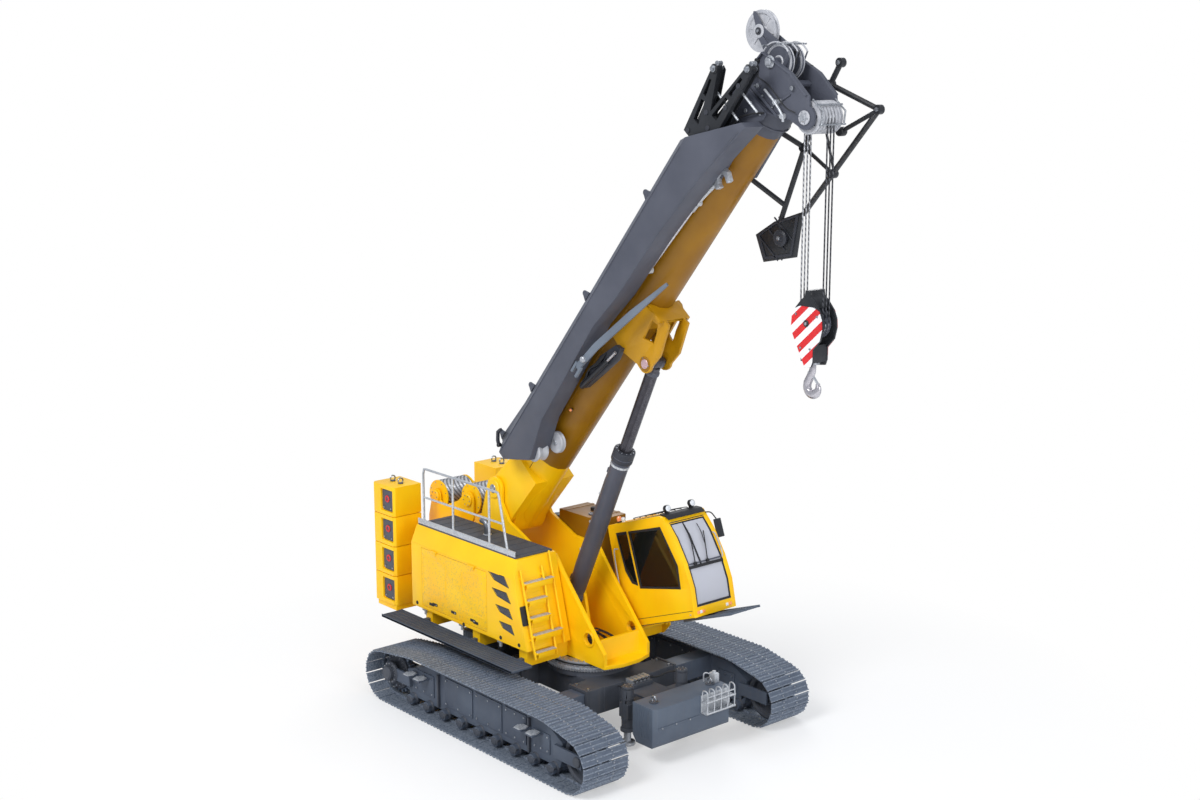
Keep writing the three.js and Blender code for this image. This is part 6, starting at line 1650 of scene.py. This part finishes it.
    # sun visor strip, mirrors on arms, grab rail, door rails and roof ribs
    trim.add(prism([(1.44, 1.765), (1.57, 1.722), (1.64, 1.66), (1.65, 1.675), (1.585, 1.75), (1.46, 1.79)],
        0.68, 1.52), rubber, 0.006)
    trim.add(tube([(1.6, 1.56, 1.65), (1.66, 1.63, 1.62), (1.72, 1.66, 1.5)], 0.011, 10, 4), black)
    trim.add(block((1.7, 1.6, 1.18), (1.73, 1.76, 1.5)), black, 0.014)
    trim.add(tube([(1.72, 1.5, 1.3), (1.78, 1.51, 1.25), (1.84, 1.51, 0.95), (1.82, 1.5, 0.85)], 0.012, 10,
        4), galvanised)
    trim.add(tube([(0.16, 0.612, 0.55), (0.13, 0.57, 0.6), (0.19, 0.57, 1.3), (0.26, 0.612, 1.36)], 0.012,
        10, 5), galvanised)
    for y in (0.86, 1.1, 1.34):
        trim.add(block((0.3, y - 0.012, 1.786), (0.6, y + 0.012, 1.797)), yellow, 0.003)
    for y in (0.82, 0.96, 1.1, 1.24, 1.38):  # guard over the roof pane
        trim.add(tube([(0.62, y, 1.79), (0.66, y, 1.815), (1.32, y, 1.805), (1.38, y, 1.775)], 0.008, 8, 4),
            black)
    for z in (0.9, 1.12, 1.34):  # louvre on the rear wall
        trim.add(block((0.02, 0.7, z - 0.6), (0.045, 1.5, z - 0.585)), black, 0.003)
    trim.done(slot="dark_plastic")


def cabDoor():
    door = Piece("cab_door.glazing", "cab_door", cabFrame)
    pane = [(0.48, 0.56), (1.5, 0.56), (1.48, 0.9), (1.3, 1.56), (0.49, 1.57)]
    y = 1.588
    door.add(prism(grown(pane, -0.001), y + 0.016, y + 0.022), darkGlass)
    door.add(frameBetween(grown(pane, 0.022), grown(pane, -0.03), y + 0.03, y + 0.043), rubber, 0.002,
        segments=1)
    door.add(prism(roundedOutline(1.28, 1.42, 0.44, 0.5, 0.02), y + 0.0402, y + 0.05), rubber, 0.003)
    door.add(tube([(1.3, y + 0.052, 0.47), (1.32, y + 0.075, 0.47), (1.38, y + 0.075, 0.47),
        (1.4, y + 0.052, 0.47)], 0.009, 10, 4), galvanised)
    for z in (0.14, 0.3):
        door.add(prism(roundedOutline(0.5, 1.42, z, z + 0.012, 0.005, 3), y + 0.0402, y + 0.045), yellow,
            0.0015, segments=1)
    for x in (0.5, 1.25):
        for z in (0.085, 1.617):
            door.add(disc(0.03, y + 0.0402, y + 0.055, "y", (x, 0, z), 24, 0.005), black)
    door.done(slot="window_glass")


def cushion(low, high, crown, rounding=0.03, cuts=10, axis=2):
    shape = bmesh.new()
    bmesh.ops.create_cube(shape, size=2)
    bmesh.ops.subdivide_edges(shape, edges=shape.edges[:], cuts=cuts, use_grid_fill=True)
    half = [(b - a) / 2 for a, b in zip(low, high)]
    centre = [(a + b) / 2 for a, b in zip(low, high)]
    for vert in shape.verts:
        p = Vector(vert.co)
        # full in the middle, thin at its rim
        edge = 1 - (abs(p[(axis + 1) % 3]) ** 4 + abs(p[(axis + 2) % 3]) ** 4) / 2
        out = Vector(p)
        out[axis] = p[axis] * (0.72 + 0.28 * max(edge, 0) ** 0.5)
        for k in ((axis + 1) % 3, (axis + 2) % 3):
            out[k] = p[k] * (1 - 0.05 * abs(p[axis]) ** 3)
        if out[axis] > 0:
            out[axis] += crown / half[axis] * max(edge, 0) * 0.5
        vert.co = Vector(centre[k] + out[k] * half[k] for k in range(3))
    return shape


def cabInside():
    seat = Piece("cab_seat.base", "cab", cabFrame)
    seat.add(block((0.62, 0.98, 0.0705), (0.9, 1.22, 0.3)), graphiteDark, 0.02)
    for k in range(5):  # bellows of the suspended base
        seat.add(prism(roundedOutline(0.6 + 0.01 * (k % 2), 0.92 - 0.01 * (k % 2), 0.96 + 0.01 * (k % 2),
            1.24 - 0.01 * (k % 2), 0.04), 0.3 + 0.035 * k, 0.33 + 0.035 * k, "xy"), rubber, 0.01)
    seat.add(block((0.54, 0.9, 0.474), (0.98, 1.3, 0.5)), graphiteDark, 0.01)
    for y in (0.86, 1.3):  # arm rests with joysticks
        seat.add(block((0.62, y, 0.66), (1.0, y + 0.06, 0.72)), rubber, 0.018)
        seat.add(block((0.64, y + 0.015, 0.5), (0.7, y + 0.045, 0.66)), graphiteDark, 0.008)
        seat.add(turned([(0, 0.72), (0.024, 0.72), (0.012, 0.745), (0.012, 0.82), (0.022, 0.835),
            (0.024, 0.88), (0.014, 0.9), (0, 0.902)], 20, "z", (0.96, y + 0.03, 0)), rubber)
    seat.done("cab_seat", slot="dark_plastic")
    pads = {
        "seat_cushion": ((0.53, 0.885, 0.5), (0.99, 1.315, 0.6), 0.03, 2, None),
        "seat_back": ((-0.05, 0.895, 0.0), (0.06, 1.305, 0.6), 0.03, 0, ((0.53, 0, 0.58), -12)),
        "seat_headrest": ((-0.04, 0.99, 0.62), (0.05, 1.21, 0.76), 0.015, 0, ((0.53, 0, 0.58), -12)),
    }
    for name, (low, high, crown, axis, lean) in pads.items():
        place = Matrix()
        if lean is not None:
            place = Matrix.Translation(lean[0]) @ Matrix.Rotation(math.radians(lean[1]), 4, "Y")
        pad = Piece(name, "cab", cabFrame @ place).add(cushion(low, high, crown, axis=axis),
            cloth).done(slot="seat_fabric", smooth=60)
    console = Piece("cab_console.moulded", "cab", cabFrame)
    console.add(block((1.38, 0.9, 0.0705), (1.6, 1.3, 0.16)), graphiteDark, 0.02)
    console.add(prism([(1.46, 0.16), (1.56, 0.16), (1.6, 0.72), (1.56, 0.78), (1.44, 0.72)], 1.02, 1.18),
        graphiteDark, 0.02)
    console.add(prism([(1.40, 0.74), (1.6, 0.8), (1.59, 0.84), (1.39, 0.78)], 0.93, 1.27), rubber, 0.012)
    console.add(tube([(1.44, 0.78, 0.86), (1.44, 0.78, 1.1)], 0.014, 12), graphiteDark)
    console.add(block((1.41, 0.69, 0.96), (1.44, 0.87, 1.2)), graphiteDark, 0.01)
    console.add(block((1.405, 0.705, 0.975), (1.412, 0.855, 1.185)), screenGrey, 0.003)
    for y in (1.02, 1.16):
        console.add(block((1.3, y - 0.045, 0.1), (1.42, y + 0.045, 0.12)), rubber, 0.006)
    console.done("cab_console", slot="dark_plastic")


def cabStep():
    steps = Piece("cab_step.grating", "cab", cabFrame)
    for y in (0.8, 1.13, 1.45):  # long bars that stand out ahead of the cab
        steps.add(block((1.3, y, -0.06), (2.48, y + 0.03, -0.012 if y < 1.4 else -0.02)), ballastGrey,
            0.006)
    for x in (1.76, 2.44):
        steps.add(block((x, 0.83, -0.058), (x + 0.03, 1.45, -0.03)), ballastGrey, 0.004)
    for k in range(16):
        x = 1.82 + 0.039 * k
        teeth = [(0.83, -0.05)] + [(0.83 + 0.02 * j, -0.03 + 0.008 * (j % 2))
            for j in range(32)] + [(1.45, -0.05)]
        steps.add(prism(teeth, x - 0.004, x + 0.004, "yz"), ballastGrey)
    steps.add(block((1.3, 0.83, -0.06), (1.76, 1.45, -0.03)), grit, 0.004)
    steps.done("cab_step", slot="dark_grey_paint")


def carrierTrim():
    trim = Piece("cab_carrier.trim", "upper", slewFrame)
    shaft = slewFrame.inverted() @ Vector(joints["cab_tilt"]["pos_m"])
    for y0, y1 in ((0.66, 0.68), (1.47, 1.49)):
        trim.add(disc(0.058, y0, y1 + 0.012, "y", (shaft.x, 0, shaft.z), 32, 0.008), machined)
    trim.add(tube([(-0.25, 0.9, 1.3), (-0.25, 0.95, 1.3)], 0.05, 20), graphite)
    for k in range(4):  # hoses that feed the cab
        y = 0.76 + 0.03 * k
        trim.add(tube([(-0.2, 0.52, 1.3 + 0.02 * k), (-0.22, y, 1.33), (-0.2, y + 0.1, 1.31),
            (-0.14, y + 0.16, 1.3)], 0.012, 8, 6), rubber)
    for x in (0.1, 0.35):
        trim.add(bolts([(x, 0.56, 1.25)], 0.02, 0.016, "z"), steel)
    trim.done(slot="machine_yellow")


# frame nodes that keep their shape: broken edges and a real finish

def dressNodes():
    dress = {
        yellow: ("upper_frame", "engine_hood", "hood_door", "counterweight_base", "counterweight_right",
                 "counterweight_left", "left_housing", "cab_shell", "cab_door", "cab_carrier",
                 "main_winch_drum", "auxiliary_winch_drum", "winch_frame", "hood_ladder"),
        # tank housing in the amber copy of the yellow: painted shade
        yellowPaintedShade: ("tank_housing",),
        # lift bracket in a slightly darker copy of the yellow: painted shade
        yellowHalfShade: ("lift_bracket",),
        graphite: ("boom_head", "stowed_jib", "lift_barrel", "boom_section_2", "boom_section_3",
                   "boom_section_4", "boom_section_5"),
        chassis: ("car_body", "engine_block"),
        trackPaint: ("track_frame_right", "track_frame_left"),
        ballastGrey: ("front_ballast", "rear_ballast"),
        black: ("jib_fork", "fly_frame"),
        steel: ("boom_pin",),
        machined: ("jack_front_right", "jack_front_left", "jack_rear_right", "jack_rear_left", "slew_ring"),
        # lift rod in chrome painted dark as shade
        chromeShaded: ("lift_rod",),
    }
    edge = 0.006
    for finish, nodes in dress.items():
        for node in nodes:
            Piece(node + ".finished", bodyOf[node]).add(cadShape(node), finish, edge).done(node)


def boomBaseShell():  # yellow painted darker amber as shade along the boom, plain yellow at the bright foot, graphite at the mouth
    size = {"mouth": 8.72, "foot": 1.25, "edge": 0.006}
    shell = cadShape("boom_base")
    shell.transform(boomFrame.inverted())
    for s in (size["mouth"], size["foot"]):
        bmesh.ops.bisect_plane(shell, geom=shell.verts[:] + shell.edges[:] + shell.faces[:], dist=1e-6,
                               plane_co=(s, 0, 0), plane_no=(1, 0, 0))
    rounded(shell, size["edge"])
    # faces past the foot take the amber copy of the yellow: painted shade
    for face in shell.faces:
        along = face.calc_center_median().x
        face.material_index = 2 if along > size["mouth"] else 1 if along < size["foot"] else 0
    outer = Piece("boom_base.finished", "boom", boomFrame)
    outer.finishes = [yellowPaintedShade, yellow, graphite]
    addShape(outer.shape, shell, boomFrame)
    outer.done("boom_base")


tracks()
print("tracks made")
slewRing()
carBodyTrim()
ballastTrim()
print("undercarriage made")
hoodTrim()
walkwayParts()
ladderTreads()
counterweightMarks()
winchTrim()
frameTrim()
leftSideTrim()
catwalkTrim()
carrierTrim()
print("upper works made")
cabGlass()
cabDoor()
cabInside()
cabStep()
print("cab made")
boomTrim()
jibGear()
forkAndFly()
liftGear()
headGear()
sheaves()
hoistRopes()
hookBlock()
print("boom, head and hook made")
dressNodes()
boomBaseShell()
print("frame nodes dressed")
